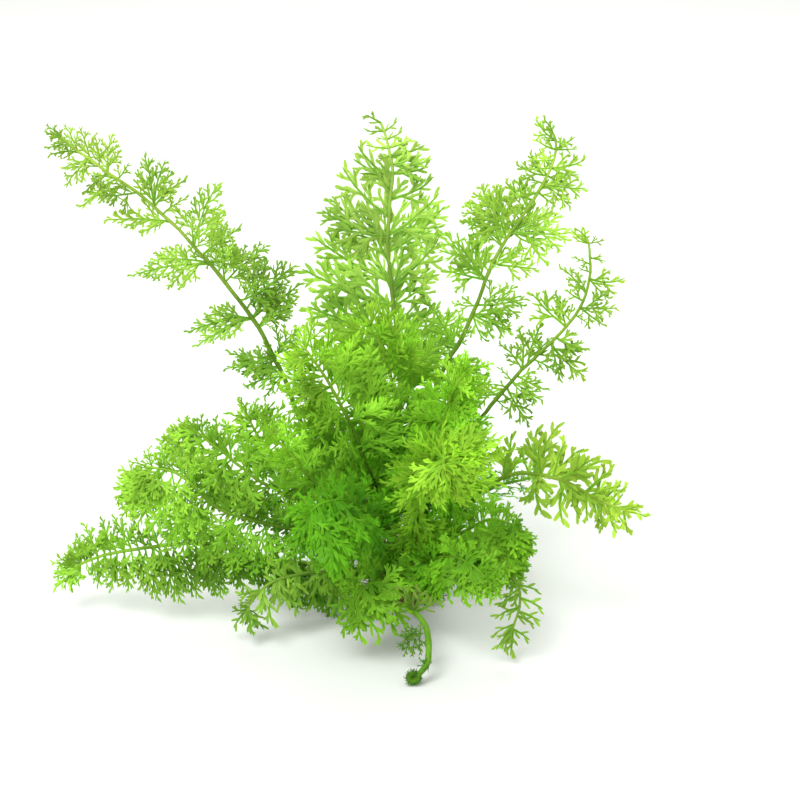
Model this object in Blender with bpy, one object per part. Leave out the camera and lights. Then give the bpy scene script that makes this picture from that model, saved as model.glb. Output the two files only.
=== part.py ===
"""A water sprite, the floating and rooting fern of freshwater tanks, lifted out and stood on a table.

A short rootstock sits on a pad of matted roots. The fronds rise from it in a rosette, each one a fleshy
stalk that carries finely cut leaflets left and right, and one young frond in front is still rolled up.
Metres, +Z up. The origin is on the table, under the middle of the root pad, and -Y faces the viewer.
"""

import math
import random

import bmesh
import bpy
import numpy as np
from mathutils import Matrix, Vector
from mathutils.bvhtree import BVHTree

MM = 0.001
GAP = 0.3 * MM

# How the photograph shows the plant: from 22 degrees above the table, at 0.45 mm a pixel near the rootstock
PICTURE_MIDDLE = 400
VIEW_TILT = math.radians(22)
VIEW_DISTANCE = 900 * MM
VIEW_AIM = Vector((-3.6, 0.0, 94.7)) * MM
PIXEL_SIZE = 0.45 * MM

# Root pad and rootstock
PAD_FOOT_RADIUS = 19 * MM
PAD_TOP_RADIUS = 14 * MM
PAD_HEIGHT = 12 * MM
PAD_SIDES = 18
STOCK_RADIUS = 12 * MM
STOCK_CENTRE = Vector((0, 0, 16)) * MM

# Stalks and leaflets
STALK_POINTS = 7
STALK_TIP_SHARE = 0.42
LEAFLET_THICKNESS = 1.5 * MM
# The rim of a leaflet from its tip down one side to its foot, as shares of its length along and across
LEAFLET_RIM = ((1.0, 0.0), (0.60, 0.12), (0.42, 0.23), (0.0, 0.0))
LEAFLET_TWIST = math.radians(22)
SPREAD_AT_TIP = math.radians(38)
LEANS = [math.radians(lean) for lean in (0, 9, -9, 18, -18)]
LEAST_LEAFLET = 5 * MM
TIP_LEAFLET = 9 * MM

LEAF_GREEN = (0.20, 0.55, 0.02, 1)
ROOT_BROWN = (0.10, 0.055, 0.02, 1)
STOCK_GREEN = (0.16, 0.22, 0.04, 1)


def seen_at(across, down, depth):
    """The point that the photograph shows at a pixel, at a depth in millimetres behind the rootstock."""
    ahead = Vector((0, math.cos(VIEW_TILT), -math.sin(VIEW_TILT)))
    upward = Vector((0, math.sin(VIEW_TILT), math.cos(VIEW_TILT)))
    rightward = Vector((1, 0, 0))
    eye = VIEW_AIM - ahead * VIEW_DISTANCE
    pixel = PIXEL_SIZE / VIEW_DISTANCE
    ray = ahead + (rightward * (across - PICTURE_MIDDLE) + upward * (PICTURE_MIDDLE - down)) * pixel
    return eye + ray * ((depth * MM - eye.y) / ray.y)


def picture(*points):
    """A route read off the photograph, each point as pixels across, pixels down and depth in millimetres."""
    return [seen_at(*point) for point in points]


def arch(azimuth, rise, fall, length):
    """A route that leaves the rootstock at an azimuth and bends from one climb to another, in degrees."""
    heading = math.radians(azimuth)
    place = STOCK_CENTRE.copy()
    route = []
    steps = 5
    for step in range(steps):
        climb = math.radians(rise + (fall - rise) * (step + 0.5) / steps)
        outward = Vector((math.cos(heading), math.sin(heading), 0))
        place = place + (outward * math.cos(climb) + Vector((0, 0, math.sin(climb)))) * length * MM / steps
        route.append(place)
    return route


# Each frond: its route from the rootstock out, where its blade starts, how many leaflets it has, its longest
# leaflet and its stalk's radius in millimetres, which way its blade faces, how far its lowest leaflets spread
# from the stalk in degrees, and how quickly the blade narrows to its tip
FRONDS = {
    "frond_upper_left": dict(
        route=picture((370, 545, 3), (318, 465, 8), (285, 381, 14), (250, 314, 18), (204, 258, 21),
                      (153, 205, 21), (109, 174, 19), (46, 126, 14)),
        bare=0.36, leaflets=15, reach=36, stalk=1.5, face=(0.1, -1, 0.2), spread=62, taper=0.45),
    "frond_top": dict(
        route=picture((397, 520, 13), (400, 387, 24), (398, 340, 27), (389, 252, 31), (390, 203, 31),
                      (392, 170, 30), (381, 124, 27), (367, 116, 24)),
        bare=0.34, leaflets=18, reach=50, stalk=1.5, face=(0, -1, 0.1), spread=58, taper=0.65),
    "frond_upper_right": dict(
        route=picture((421, 520, 5), (438, 385, 14), (465, 334, 18), (484, 284, 21), (507, 238, 23),
                      (534, 199, 23), (557, 150, 21), (545, 119, 18)),
        bare=0.36, leaflets=16, reach=31, stalk=1.5, face=(-0.1, -1, 0.2), spread=62, taper=0.35),
    "frond_right_arch": dict(
        route=picture((440, 500, -2), (477, 426, -2), (511, 382, 0), (539, 355, 2), (576, 313, 4),
                      (590, 275, 3), (589, 242, 1), (575, 228, -2)),
        bare=0.38, leaflets=14, reach=24, stalk=1.3, face=(-0.2, -1, 0.3), spread=70, taper=0.35),
    "frond_right_low": dict(
        route=picture((440, 545, -10), (479, 495, -24), (513, 475, -33), (557, 478, -40), (603, 502, -43),
                      (646, 517, -45)),
        bare=0.34, leaflets=16, reach=33, stalk=1.4, face=(0, -0.9, 0.6), spread=60, taper=0.5),
    "frond_left_low": dict(
        route=picture((362, 570, -12), (320, 566, -18), (273, 560, -22), (240, 551, -24), (193, 543, -25),
                      (142, 549, -25), (100, 556, -24), (55, 578, -22)),
        bare=0.28, leaflets=17, reach=31, stalk=1.5, face=(0, -0.9, 0.5), spread=64, taper=0.45),
    "frond_left_middle": dict(
        route=picture((366, 552, -17), (300, 532, -28), (224, 511, -38), (180, 475, -44), (128, 462, -46)),
        bare=0.34, leaflets=15, reach=35, stalk=1.4, face=(0.2, -1, 0.5), spread=66, taper=0.3),
    "frond_left_upper": dict(
        route=picture((368, 546, -10), (316, 512, -20), (258, 480, -28), (215, 446, -32), (178, 420, -34)),
        bare=0.32, leaflets=14, reach=30, stalk=1.3, face=(0.2, -1, 0.4), spread=66, taper=0.4),
    "frond_left_shoulder": dict(
        route=picture((373, 538, -2), (338, 505, -8), (290, 468, -14), (258, 436, -18), (240, 400, -20)),
        bare=0.32, leaflets=13, reach=26, stalk=1.3, face=(0.2, -1, 0.3), spread=66, taper=0.4),
    "frond_left_drooping": dict(
        route=picture((371, 575, -26), (330, 572, -38), (290, 576, -46), (260, 592, -50), (234, 626, -52)),
        bare=0.36, leaflets=10, reach=23, stalk=1.2, face=(0.2, -0.9, 0.5), spread=62, taper=0.4),
    "frond_right_drooping": dict(
        route=picture((440, 573, -26), (478, 566, -46), (507, 572, -60), (519, 600, -68), (506, 650, -72)),
        bare=0.4, leaflets=10, reach=18, stalk=1.2, face=(-0.1, -1, 0.3), spread=62, taper=0.4),
    "frond_crown_left": dict(
        route=picture((385, 520, -10), (358, 440, -22), (330, 385, -32), (305, 350, -40), (284, 332, -46)),
        bare=0.25, leaflets=14, reach=32, stalk=1.3, face=(0.2, -1, 0.5), spread=66, taper=0.4),
    "frond_crown_middle": dict(
        route=picture((405, 500, -6), (400, 420, -10), (388, 368, -16), (372, 330, -22), (352, 306, -30)),
        bare=0.25, leaflets=14, reach=30, stalk=1.3, face=(0, -1, 0.4), spread=66, taper=0.4),
    "frond_crown_right": dict(
        route=picture((424, 525, -12), (436, 460, -20), (446, 410, -26), (462, 376, -32), (492, 362, -38)),
        bare=0.25, leaflets=13, reach=26, stalk=1.3, face=(-0.1, -1, 0.4), spread=66, taper=0.4),
    "frond_left_inner": dict(
        route=picture((371, 538, -24), (320, 488, -40), (286, 450, -46), (268, 428, -52), (256, 408, -56)),
        bare=0.25, leaflets=12, reach=28, stalk=1.2, face=(0.3, -1, 0.5), spread=66, taper=0.4),
    "frond_front_left": dict(
        route=picture((390, 540, -26), (366, 515, -48), (345, 500, -62), (320, 504, -72), (296, 530, -80)),
        bare=0.22, leaflets=12, reach=27, stalk=1.2, face=(0.1, -0.8, 0.8), spread=66, taper=0.4),
    "frond_front_middle": dict(
        route=picture((414, 530, -26), (424, 485, -48), (432, 458, -64), (442, 458, -74), (450, 490, -82)),
        bare=0.22, leaflets=12, reach=27, stalk=1.3, face=(0, -0.8, 0.8), spread=66, taper=0.4),
    "frond_front_low_left": dict(
        route=picture((392, 576, -30), (378, 576, -50), (366, 588, -62), (356, 606, -68), (350, 634, -70)),
        bare=0.28, leaflets=10, reach=26, stalk=1.1, face=(0.1, -0.8, 0.7), spread=66, taper=0.4),
    "frond_front_low_right": dict(
        route=picture((427, 564, -32), (446, 556, -54), (466, 562, -68), (484, 576, -76), (494, 598, -80)),
        bare=0.28, leaflets=10, reach=25, stalk=1.1, face=(-0.1, -0.8, 0.7), spread=66, taper=0.4),
    "frond_right_inner": dict(
        route=picture((434, 552, -20), (462, 532, -34), (490, 520, -44), (512, 524, -50), (530, 544, -52)),
        bare=0.25, leaflets=11, reach=25, stalk=1.2, face=(-0.1, -0.9, 0.6), spread=66, taper=0.4),
    "frond_back_1": dict(
        route=arch(36, 40, -20, 98), bare=0.28, leaflets=12, reach=28, stalk=1.2, face=(-0.4, -0.3, 1),
        spread=62, taper=0.45),
    "frond_back_2": dict(
        route=arch(68, 42, -6, 108), bare=0.28, leaflets=12, reach=29, stalk=1.2, face=(-0.2, -0.6, 1),
        spread=62, taper=0.45),
    "frond_back_3": dict(
        route=arch(106, 36, -20, 104), bare=0.28, leaflets=12, reach=28, stalk=1.2, face=(0.1, -0.5, 1),
        spread=62, taper=0.45),
    "frond_back_4": dict(
        route=arch(142, 42, -12, 102), bare=0.28, leaflets=12, reach=28, stalk=1.2, face=(0.4, -0.4, 1),
        spread=62, taper=0.45),
}

# The young frond in front: its stalk's route, the coil at its end, and the one leaflet that has opened
FIDDLEHEAD_ROUTE = picture((410, 592, -40), (418, 610, -57), (426, 627, -69), (428.5, 641, -77),
                           (428.5, 655, -84), (426, 666, -88))
FIDDLEHEAD_STALK = 1.7 * MM
FIDDLEHEAD_POINTS = 9
COIL_START = Vector((4.4, -90, 3.1)) * MM
COIL_RADIUS = 2.2 * MM
COIL_TURNS = 0.8
COIL_POINTS = 7
YOUNG_LEAFLET = picture((427, 634, -74), (394, 650, -78))


def smooth_route(points, count, short_by=0):
    """Points spread evenly along a curve through the given ones, which may stop short of its end."""
    given = np.array([tuple(point) for point in points])
    padded = np.vstack([2 * given[0] - given[1], given, 2 * given[-1] - given[-2]])
    fine = []
    for i in range(1, len(padded) - 2):
        before, start, end, after = padded[i - 1:i + 3]
        bend = 2 * before - 5 * start + 4 * end - after
        twist = 3 * start - before - 3 * end + after
        for t in np.linspace(0, 1, 24, endpoint=False):
            fine.append(0.5 * (2 * start + (end - before) * t + bend * t ** 2 + twist * t ** 3))
    fine = np.vstack([fine, given[-1]])
    walked = np.concatenate([[0], np.cumsum(np.linalg.norm(np.diff(fine, axis=0), axis=1))])
    wanted = np.linspace(0, walked[-1] - short_by, count)
    return [Vector(column) for column in zip(*(np.interp(wanted, walked, fine[:, k]) for k in range(3)))]


def from_the_stock(route):
    """The route with a first point that touches the rootstock where the second one leads."""
    outward = (route[0] - STOCK_CENTRE).normalized()
    return [STOCK_CENTRE + outward * (STOCK_RADIUS + 2 * GAP)] + list(route)


def material(name, colour, roughness):
    made = bpy.data.materials.new(name)
    made.use_nodes = True
    shader = made.node_tree.nodes["Principled BSDF"]
    shader.inputs["Base Color"].default_value = colour
    shader.inputs["Roughness"].default_value = roughness
    return made


def add_object(name, mesh, finish, collection):
    made = bpy.data.objects.new(name, mesh)
    made.data.materials.clear()
    made.data.materials.append(finish)
    collection.objects.link(made)
    return made


def mesh_of(name, shape):
    """The bmesh as a mesh datablock, with its faces turned outwards."""
    bmesh.ops.recalc_face_normals(shape, faces=shape.faces)
    mesh = bpy.data.meshes.new(name)
    shape.to_mesh(mesh)
    shape.free()
    return mesh


def root_pad():
    """The matted roots: a low flared pad, flat below and above, with a lumpy side."""
    dice = random.Random("roots")
    shape = bmesh.new()
    bmesh.ops.create_cone(shape, cap_ends=True, segments=PAD_SIDES, radius1=PAD_FOOT_RADIUS,
                          radius2=PAD_TOP_RADIUS, depth=PAD_HEIGHT)
    sides = [edge for edge in shape.edges if abs(edge.verts[0].co.z - edge.verts[1].co.z) > PAD_HEIGHT / 2]
    bmesh.ops.subdivide_edges(shape, edges=sides, cuts=1)
    for vertex in shape.verts:
        bulge = 1 + dice.uniform(-0.06, 0.06) + (0.07 if abs(vertex.co.z) < PAD_HEIGHT / 4 else 0)
        vertex.co.x *= bulge
        vertex.co.y *= bulge
        vertex.co.z += PAD_HEIGHT / 2
    return mesh_of("roots", shape)


def rootstock():
    """The short upright stem that every frond leaves: a dome that stands on the root pad."""
    shape = bmesh.new()
    bmesh.ops.create_uvsphere(shape, u_segments=14, v_segments=7, radius=STOCK_RADIUS)
    bmesh.ops.translate(shape, verts=shape.verts, vec=STOCK_CENTRE)
    whole = shape.verts[:] + shape.edges[:] + shape.faces[:]
    floor = Vector((0, 0, PAD_HEIGHT + GAP))
    bmesh.ops.bisect_plane(shape, geom=whole, plane_co=floor, plane_no=(0, 0, 1), clear_inner=True)
    bmesh.ops.holes_fill(shape, edges=[edge for edge in shape.edges if edge.is_boundary])
    return mesh_of("rootstock", shape)


def stalk(name, points, radius, tip_share):
    """A tapering tube along the points, as a closed mesh."""
    curve = bpy.data.curves.new(name, "CURVE")
    curve.dimensions = "3D"
    curve.bevel_depth = radius
    curve.bevel_resolution = 0
    curve.use_fill_caps = True
    line = curve.splines.new("POLY")
    line.points.add(len(points) - 1)
    for i, (knot, place) in enumerate(zip(line.points, points)):
        knot.co = (*place, 1)
        knot.radius = 1 + (tip_share - 1) * i / (len(points) - 1)
    holder = bpy.data.objects.new(name, curve)
    bpy.context.scene.collection.objects.link(holder)
    mesh = bpy.data.meshes.new_from_object(holder.evaluated_get(bpy.context.evaluated_depsgraph_get()))
    bpy.data.objects.remove(holder)
    shape = bmesh.new()
    shape.from_mesh(mesh)
    bmesh.ops.remove_doubles(shape, verts=shape.verts, dist=0.01 * MM)
    return shape


def leaflet(foot, aim, face, reach):
    """One cut leaflet: a flat lens whose rim runs out to three pointed lobes, thickest near its foot."""
    side = aim.cross(face).normalized()
    normal = side.cross(aim).normalized() * LEAFLET_THICKNESS / 2
    there = [(along, -across) for along, across in LEAFLET_RIM]
    back = [(along, across) for along, across in reversed(LEAFLET_RIM[1:-1])]
    shape = bmesh.new()
    rim = [shape.verts.new(foot + (aim * along + side * across) * reach) for along, across in there + back]
    middle = foot + aim * 0.3 * reach
    for peak in (shape.verts.new(middle + normal), shape.verts.new(middle - normal)):
        for i, corner in enumerate(rim):
            shape.faces.new((rim[i - 1], corner, peak))
    bmesh.ops.recalc_face_normals(shape, faces=shape.faces)
    return shape


def blade_outline(share, taper):
    """How long a leaflet is beside the longest, from the blade's foot at 0 to its tip at 1."""
    return min(1.0, 0.75 + 1.5 * share) * (1 - share) ** taper + 0.04


def leaflet_places(name, plan, points):
    """Foot, aim, face and reach of each leaflet: left and right in turn up the blade, and one at the tip."""
    dice = random.Random(name)
    count = plan["leaflets"]
    last = len(points) - 1
    places = []
    for i in range(count):
        share = (i + 0.5) / count
        along = (plan["bare"] + (0.97 - plan["bare"]) * share) * last
        knot = min(int(along), last - 1)
        foot = points[knot].lerp(points[knot + 1], along - knot)
        ahead = (points[min(knot + 2, last)] - points[max(knot - 1, 0)]).normalized()
        side = ahead.cross(Vector(plan["face"])).normalized() * (1 if i % 2 else -1)
        face = Vector(plan["face"]) - ahead * ahead.dot(Vector(plan["face"]))
        spread = math.radians(plan["spread"])
        swing = spread + (SPREAD_AT_TIP - spread) * share + math.radians(dice.uniform(-8, 8))
        lift = math.radians(dice.uniform(-14, 14))
        face.normalize()
        aim = (ahead * math.cos(swing) + side * math.sin(swing) + face * math.sin(lift)).normalized()
        reach = plan["reach"] * MM * blade_outline(share, plan["taper"]) * dice.uniform(0.88, 1.1)
        places.append((foot, aim, face * math.cos(LEAFLET_TWIST) + ahead * math.sin(LEAFLET_TWIST), reach))
    ahead = (points[-1] - points[-2]).normalized()
    places.append((points[-1] - ahead * MM, ahead, Vector(plan["face"]), TIP_LEAFLET))
    return places


class Crowd:
    """What already stands in the way, so that a leaflet only grows where there is room for it."""

    def __init__(self):
        self.taken = []

    def add(self, owner, shape):
        corners = np.array([tuple(vertex.co) for vertex in shape.verts])
        self.taken.append((owner, BVHTree.FromBMesh(shape), corners.min(0), corners.max(0)))

    def clear_of(self, owner, shape):
        """Whether the shape stands above the table and meets nothing but its owner."""
        corners = np.array([tuple(vertex.co) for vertex in shape.verts])
        low, high = corners.min(0), corners.max(0)
        if low[2] < GAP:
            return False
        tree = BVHTree.FromBMesh(shape)
        for other, theirs, theirs_low, theirs_high in self.taken:
            near = (low <= theirs_high).all() and (high >= theirs_low).all()
            if other != owner and near and tree.overlap(theirs):
                return False
        return True


def fattened(shape, by):
    """A copy with every corner pushed out along its normal, to keep a gap to the neighbours."""
    copy = shape.copy()
    copy.normal_update()
    for vertex in copy.verts:
        vertex.co += vertex.normal * by
    return copy


def grow_leaflets(name, plan, points, crowd):
    """The frond's leaflets as one mesh. One that meets a neighbour leans away, or else it stays shorter."""
    blade = bmesh.new()
    for foot, aim, face, reach in leaflet_places(name, plan, points):
        hinge = aim.cross(face).normalized()
        grown = None
        while grown is None and reach > LEAST_LEAFLET:
            turns = [Matrix.Rotation(lean, 3, hinge) for lean in LEANS]
            tries = [leaflet(foot, turn @ aim, turn @ face, reach) for turn in turns]
            grown = next((one for one in tries if crowd.clear_of(name, fattened(one, 1.5 * GAP))), None)
            reach *= 0.85
        if grown:
            crowd.add(name + " leaflet", grown)
            part = bpy.data.meshes.new("leaflet")
            grown.to_mesh(part)
            blade.from_mesh(part)
            bpy.data.meshes.remove(part)
    return blade


def join(whole, added, cutters):
    """Unites a mesh of overlapping shapes with an object."""
    helper = bpy.data.objects.new(whole.name + "_leaflets", added)
    helper.hide_render = True
    helper.display_type = "WIRE"
    cutters.objects.link(helper)
    union = whole.modifiers.new("leaflets", "BOOLEAN")
    union.operation = "UNION"
    union.solver = "EXACT"
    union.use_self = True
    union.object = helper


def coil(start):
    """The rolled tip of the young frond: a spiral in the upright plane of its stalk, as points."""
    centre = start - Vector((COIL_RADIUS, 0, 0))
    points = []
    for i in range(1, COIL_POINTS + 1):
        share = i / COIL_POINTS
        turn = share * COIL_TURNS * math.tau
        radius = COIL_RADIUS * (1 - 0.55 * share)
        points.append(centre + Vector((math.cos(turn), 0, -math.sin(turn))) * radius)
    return points


for thing in list(bpy.data.objects):
    bpy.data.objects.remove(thing)

plant = bpy.data.collections.new("water_sprite")
cutters = bpy.data.collections.new("leaflets")
bpy.context.scene.collection.children.link(plant)
bpy.context.scene.collection.children.link(cutters)

leaf = material("leaf", LEAF_GREEN, 0.45)
bark = material("roots", ROOT_BROWN, 0.9)
stem = material("rootstock", STOCK_GREEN, 0.7)

add_object("roots", root_pad(), bark, plant)
add_object("rootstock", rootstock(), stem, plant)

crowd = Crowd()
for holder in list(plant.objects):
    shape = bmesh.new()
    shape.from_mesh(holder.data)
    crowd.add(holder.name, shape)

routes = {}
for name, plan in FRONDS.items():
    routes[name] = smooth_route(from_the_stock(plan["route"]), STALK_POINTS, TIP_LEAFLET - MM)
stalks = {}
for name, points in routes.items():
    stalks[name] = stalk(name, points, FRONDS[name]["stalk"] * MM, STALK_TIP_SHARE)
    crowd.add(name, stalks[name])

young = smooth_route(from_the_stock(FIDDLEHEAD_ROUTE) + [COIL_START], FIDDLEHEAD_POINTS) + coil(COIL_START)
young_stalk = stalk("fiddlehead", young, FIDDLEHEAD_STALK, STALK_TIP_SHARE)
young_foot, young_tip = YOUNG_LEAFLET
young_reach = (young_tip - young_foot).length
young_leaflet = leaflet(young_foot, (young_tip - young_foot) / young_reach, Vector((0, -1, 0.3)), young_reach)
crowd.add("fiddlehead", young_stalk)
crowd.add("fiddlehead", young_leaflet)

for name, plan in FRONDS.items():
    frond = add_object(name, mesh_of(name, stalks[name]), leaf, plant)
    join(frond, mesh_of(name + "_leaflets", grow_leaflets(name, plan, routes[name], crowd)), cutters)
fiddlehead = add_object("fiddlehead", mesh_of("fiddlehead", young_stalk), leaf, plant)
join(fiddlehead, mesh_of("fiddlehead_leaflet", young_leaflet), cutters)
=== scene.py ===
import itertools
import math
import random

import bmesh
import bpy
import numpy as np
from mathutils import Matrix, Vector


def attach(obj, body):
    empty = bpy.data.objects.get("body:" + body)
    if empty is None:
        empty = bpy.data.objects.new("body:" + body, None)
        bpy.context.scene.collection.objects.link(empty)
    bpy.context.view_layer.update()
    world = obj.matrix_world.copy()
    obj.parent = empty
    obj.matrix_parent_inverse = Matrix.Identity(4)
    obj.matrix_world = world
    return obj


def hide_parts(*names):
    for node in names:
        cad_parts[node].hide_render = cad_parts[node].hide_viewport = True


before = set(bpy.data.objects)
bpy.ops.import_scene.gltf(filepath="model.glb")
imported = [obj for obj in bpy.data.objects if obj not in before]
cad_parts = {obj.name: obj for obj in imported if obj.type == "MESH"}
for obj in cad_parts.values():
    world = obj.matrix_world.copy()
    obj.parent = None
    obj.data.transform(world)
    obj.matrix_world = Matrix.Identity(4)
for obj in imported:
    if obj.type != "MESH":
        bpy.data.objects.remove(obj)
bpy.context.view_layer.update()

# A water sprite, the finely cut fern of freshwater tanks, lifted out and stood on a pale table. The sections
# follow the plant from the ground up: roots, rootstock, leaflets, fronds and the rolled young frond in front.

# Roots
# The plant stands on a low pad of matted roots. The real one is a tangle of wiry dark brown fibres that have
# grown round each other under the rootstock, pressed flat where they rest on the table.

MM = 0.001
PAD_FOOT_RADIUS = 18 * MM
PAD_TOP_RADIUS = 13 * MM
PAD_HEIGHT = 11.5 * MM
PAD_SURFACE = 3.2e-3
PAD_SIDES = 36
PAD_CUTS = 5
FIBRES = 420
FIBRE_RADIUS = 0.38 * MM
FIBRE_KINDS = 6
FIBRE_STEPS = 7
FIBRE_FOOT = 0.6 * MM
ROOT_PATCH = 6 * MM
ROOT_STRAND = 0.8 * MM


def linear(colour):
    """An sRGB hex colour as the linear one that a shader takes."""
    parts = [int(colour[i:i + 2], 16) / 255 for i in (1, 3, 5)]
    return [part / 12.92 if part <= 0.04045 else ((part + 0.055) / 1.055) ** 2.4 for part in parts] + [1]


def add_node(tree, kind, inputs=None, **settings):
    """Adds a node to a tree, with its settings, and with its inputs set or linked by name or number."""
    node = tree.nodes.new(kind)
    for name, value in settings.items():
        setattr(node, name, value)
    for name, value in (inputs or {}).items():
        if isinstance(value, bpy.types.NodeSocket):
            tree.links.new(value, node.inputs[name])
        else:
            node.inputs[name].default_value = value
    return node


def new_finish(name):
    """A material with an empty node tree, and that tree."""
    finish = bpy.data.materials.new(name)
    finish.use_nodes = True
    finish.node_tree.nodes.clear()
    return finish, finish.node_tree


def new_tree(name, sockets):
    """A Geometry Nodes tree with named inputs and one shape as its output, and those inputs."""
    tree = bpy.data.node_groups.new(name, "GeometryNodeTree")
    tree.is_modifier = True
    for socket, kind in sockets.items():
        tree.interface.new_socket(socket, in_out="INPUT", socket_type="NodeSocket" + kind)
    tree.interface.new_socket("Shape", in_out="OUTPUT", socket_type="NodeSocketGeometry")
    return tree, add_node(tree, "NodeGroupInput").outputs


def end_tree(tree, shape, place, table, finish):
    """Ends a tree: every point goes to its place, though never under the table, and the shape is finished."""
    parts = add_node(tree, "ShaderNodeSeparateXYZ", {0: place}).outputs
    above = add_node(tree, "ShaderNodeMath", {0: parts[2], 1: table}, operation="MAXIMUM")
    kept = add_node(tree, "ShaderNodeCombineXYZ", {0: parts[0], 1: parts[1], 2: above.outputs[0]})
    moved = add_node(tree, "GeometryNodeSetPosition", {"Geometry": shape, "Position": kept.outputs[0]})
    dressed = add_node(tree, "GeometryNodeSetMaterial", {"Geometry": moved.outputs[0], "Material": finish})
    add_node(tree, "NodeGroupOutput", {0: dressed.outputs[0]})


def bristles_tree():
    """A tree that stands copies of a collection's shapes on a surface and joins them to it."""
    tree, given = new_tree("bristles", {
        "Surface": "Geometry", "Shapes": "Collection", "Count a square metre": "Float", "Lean": "Float",
        "Seed": "Int", "Finish": "Material"})
    spread = add_node(tree, "GeometryNodeDistributePointsOnFaces", {
        "Mesh": given["Surface"], "Density": given["Count a square metre"], "Seed": given["Seed"]})
    shapes = add_node(tree, "GeometryNodeCollectionInfo", {
        "Collection": given["Shapes"], "Separate Children": True, "Reset Children": True})
    lean, against = (add_node(tree, "ShaderNodeVectorMath", {
        0: (way, way, way), "Scale": given["Lean"]}, operation="SCALE") for way in (1, -1))
    swing = add_node(tree, "FunctionNodeRandomValue", {
        0: against.outputs[0], 1: lean.outputs[0], "Seed": given["Seed"]}, data_type="FLOAT_VECTOR")
    turned = add_node(tree, "FunctionNodeRotateRotation", {
        0: spread.outputs["Rotation"], 1: swing.outputs[0]}, rotation_space="LOCAL")
    size = add_node(tree, "FunctionNodeRandomValue", {2: 0.7, 3: 1.25, "Seed": given["Seed"]})
    placed = add_node(tree, "GeometryNodeInstanceOnPoints", {
        "Points": spread.outputs["Points"], "Instance": shapes.outputs[0], "Pick Instance": True,
        "Rotation": turned.outputs[0], "Scale": size.outputs[1]})
    joined = add_node(tree, "GeometryNodeJoinGeometry")
    tree.links.new(given["Surface"], joined.inputs[0])
    tree.links.new(placed.outputs[0], joined.inputs[0])
    real = add_node(tree, "GeometryNodeRealizeInstances", {0: joined.outputs[0]})
    place = add_node(tree, "GeometryNodeInputPosition")
    end_tree(tree, real.outputs[0], place.outputs[0], 0.0, given["Finish"])
    return tree


def made_by(tree, start, name, **values):
    """The plain mesh object that a Geometry Nodes tree makes from a starting one, which goes."""
    changed = start.modifiers.new(tree.name, "NODES")
    changed.node_group = tree
    sockets = {item.name: item.identifier for item in tree.interface.items_tree if item.in_out == "INPUT"}
    for label, value in values.items():
        changed[sockets[label.replace("_", " ")]] = value
    mesh = bpy.data.meshes.new_from_object(start.evaluated_get(bpy.context.evaluated_depsgraph_get()))
    mesh.name = name
    mesh.shade_smooth()
    bpy.data.objects.remove(start)
    return placed_object(name, mesh)


def placed_object(name, mesh, home=None):
    """An object at the origin, in a collection of its own or straight in the scene."""
    made = bpy.data.objects.new(name, mesh)
    (home or bpy.context.scene.collection).objects.link(made)
    return made


def mesh_object(name, corners, faces, home=None):
    """A smooth-shaded mesh object from its corners and faces."""
    mesh = bpy.data.meshes.new(name)
    mesh.from_pydata([tuple(corner) for corner in corners], [], faces)
    mesh.shade_smooth()
    return placed_object(name, mesh, home)


def tube(points, radii, sides):
    """Corners and faces of a closed tube along the points, which ends in a flat cap and a point."""
    corners, faces = [], []
    for i, (point, radius) in enumerate(zip(points[:-1], radii)):
        along = (points[i + 1] - points[max(i - 1, 0)]).normalized()
        across = along.orthogonal() if i == 0 else across - along * along.dot(across)
        across.normalize()
        for k in range(sides):
            turn = math.tau * k / sides
            corners.append(point + (across * math.cos(turn) + along.cross(across) * math.sin(turn)) * radius)
    for i in range(len(points) - 2):
        for k in range(sides):
            a, b = i * sides + k, i * sides + (k + 1) % sides
            faces.append((a, b, b + sides, a + sides))
    corners.append(points[-1])
    end = len(corners) - 1
    faces += [(end - sides + k, end - sides + (k + 1) % sides, end) for k in range(sides)]
    faces.append(tuple(reversed(range(sides))))
    return corners, faces


# Root fibres: dead and half-dead plant fibre, matt, brown like wet peat, paler and yellower where young.
root_fibre, nodes = new_finish("matted root fibre")
place = add_node(nodes, "ShaderNodeTexCoord").outputs["Object"]
patches = add_node(nodes, "ShaderNodeTexNoise", {"Vector": place, "Scale": 1 / ROOT_PATCH, "Detail": 4})
strands = add_node(nodes, "ShaderNodeTexNoise", {"Vector": place, "Scale": 1 / ROOT_STRAND, "Detail": 2})
tone = add_node(nodes, "ShaderNodeMath", {0: patches.outputs[0], 1: strands.outputs[0]}, operation="MULTIPLY")
browns = add_node(nodes, "ShaderNodeValToRGB", {0: tone.outputs[0]})
for stop, at, colour in zip(browns.color_ramp.elements, (0.14, 0.42), ("#2B2012", "#8A7440")):
    stop.position = at
    stop.color = linear(colour)
dents = add_node(nodes, "ShaderNodeBump", {
    "Height": strands.outputs[0], "Distance": 0.3 * MM, "Strength": 0.6})
bark = add_node(nodes, "ShaderNodeBsdfPrincipled", {
    "Base Color": browns.outputs[0], "Normal": dents.outputs[0], "Roughness": 0.85, "IOR": 1.45})
add_node(nodes, "ShaderNodeOutputMaterial", {"Surface": bark.outputs[0]})

dice = random.Random("roots")
fibres = bpy.data.collections.new("root fibres")
sag = Vector((0, 0, 0.1))
for kind in range(FIBRE_KINDS):
    reach = dice.uniform(5, 11) * MM
    heading = Vector((dice.uniform(-1, 1), dice.uniform(-1, 1), 0.5)).normalized()
    walk = [Vector((0, 0, -FIBRE_FOOT))]
    for step in range(FIBRE_STEPS):
        swerve = Vector([dice.uniform(-0.55, 0.55) for axis in "xyz"])
        heading = (heading + swerve - sag).normalized()
        walk.append(walk[-1] + heading * reach / FIBRE_STEPS)
    thinning = [FIBRE_RADIUS * (1 - 0.08 * i) for i in range(FIBRE_STEPS + 1)]
    mesh_object("fibre_%d" % kind, *tube(walk, thinning, 4), fibres)

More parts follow.
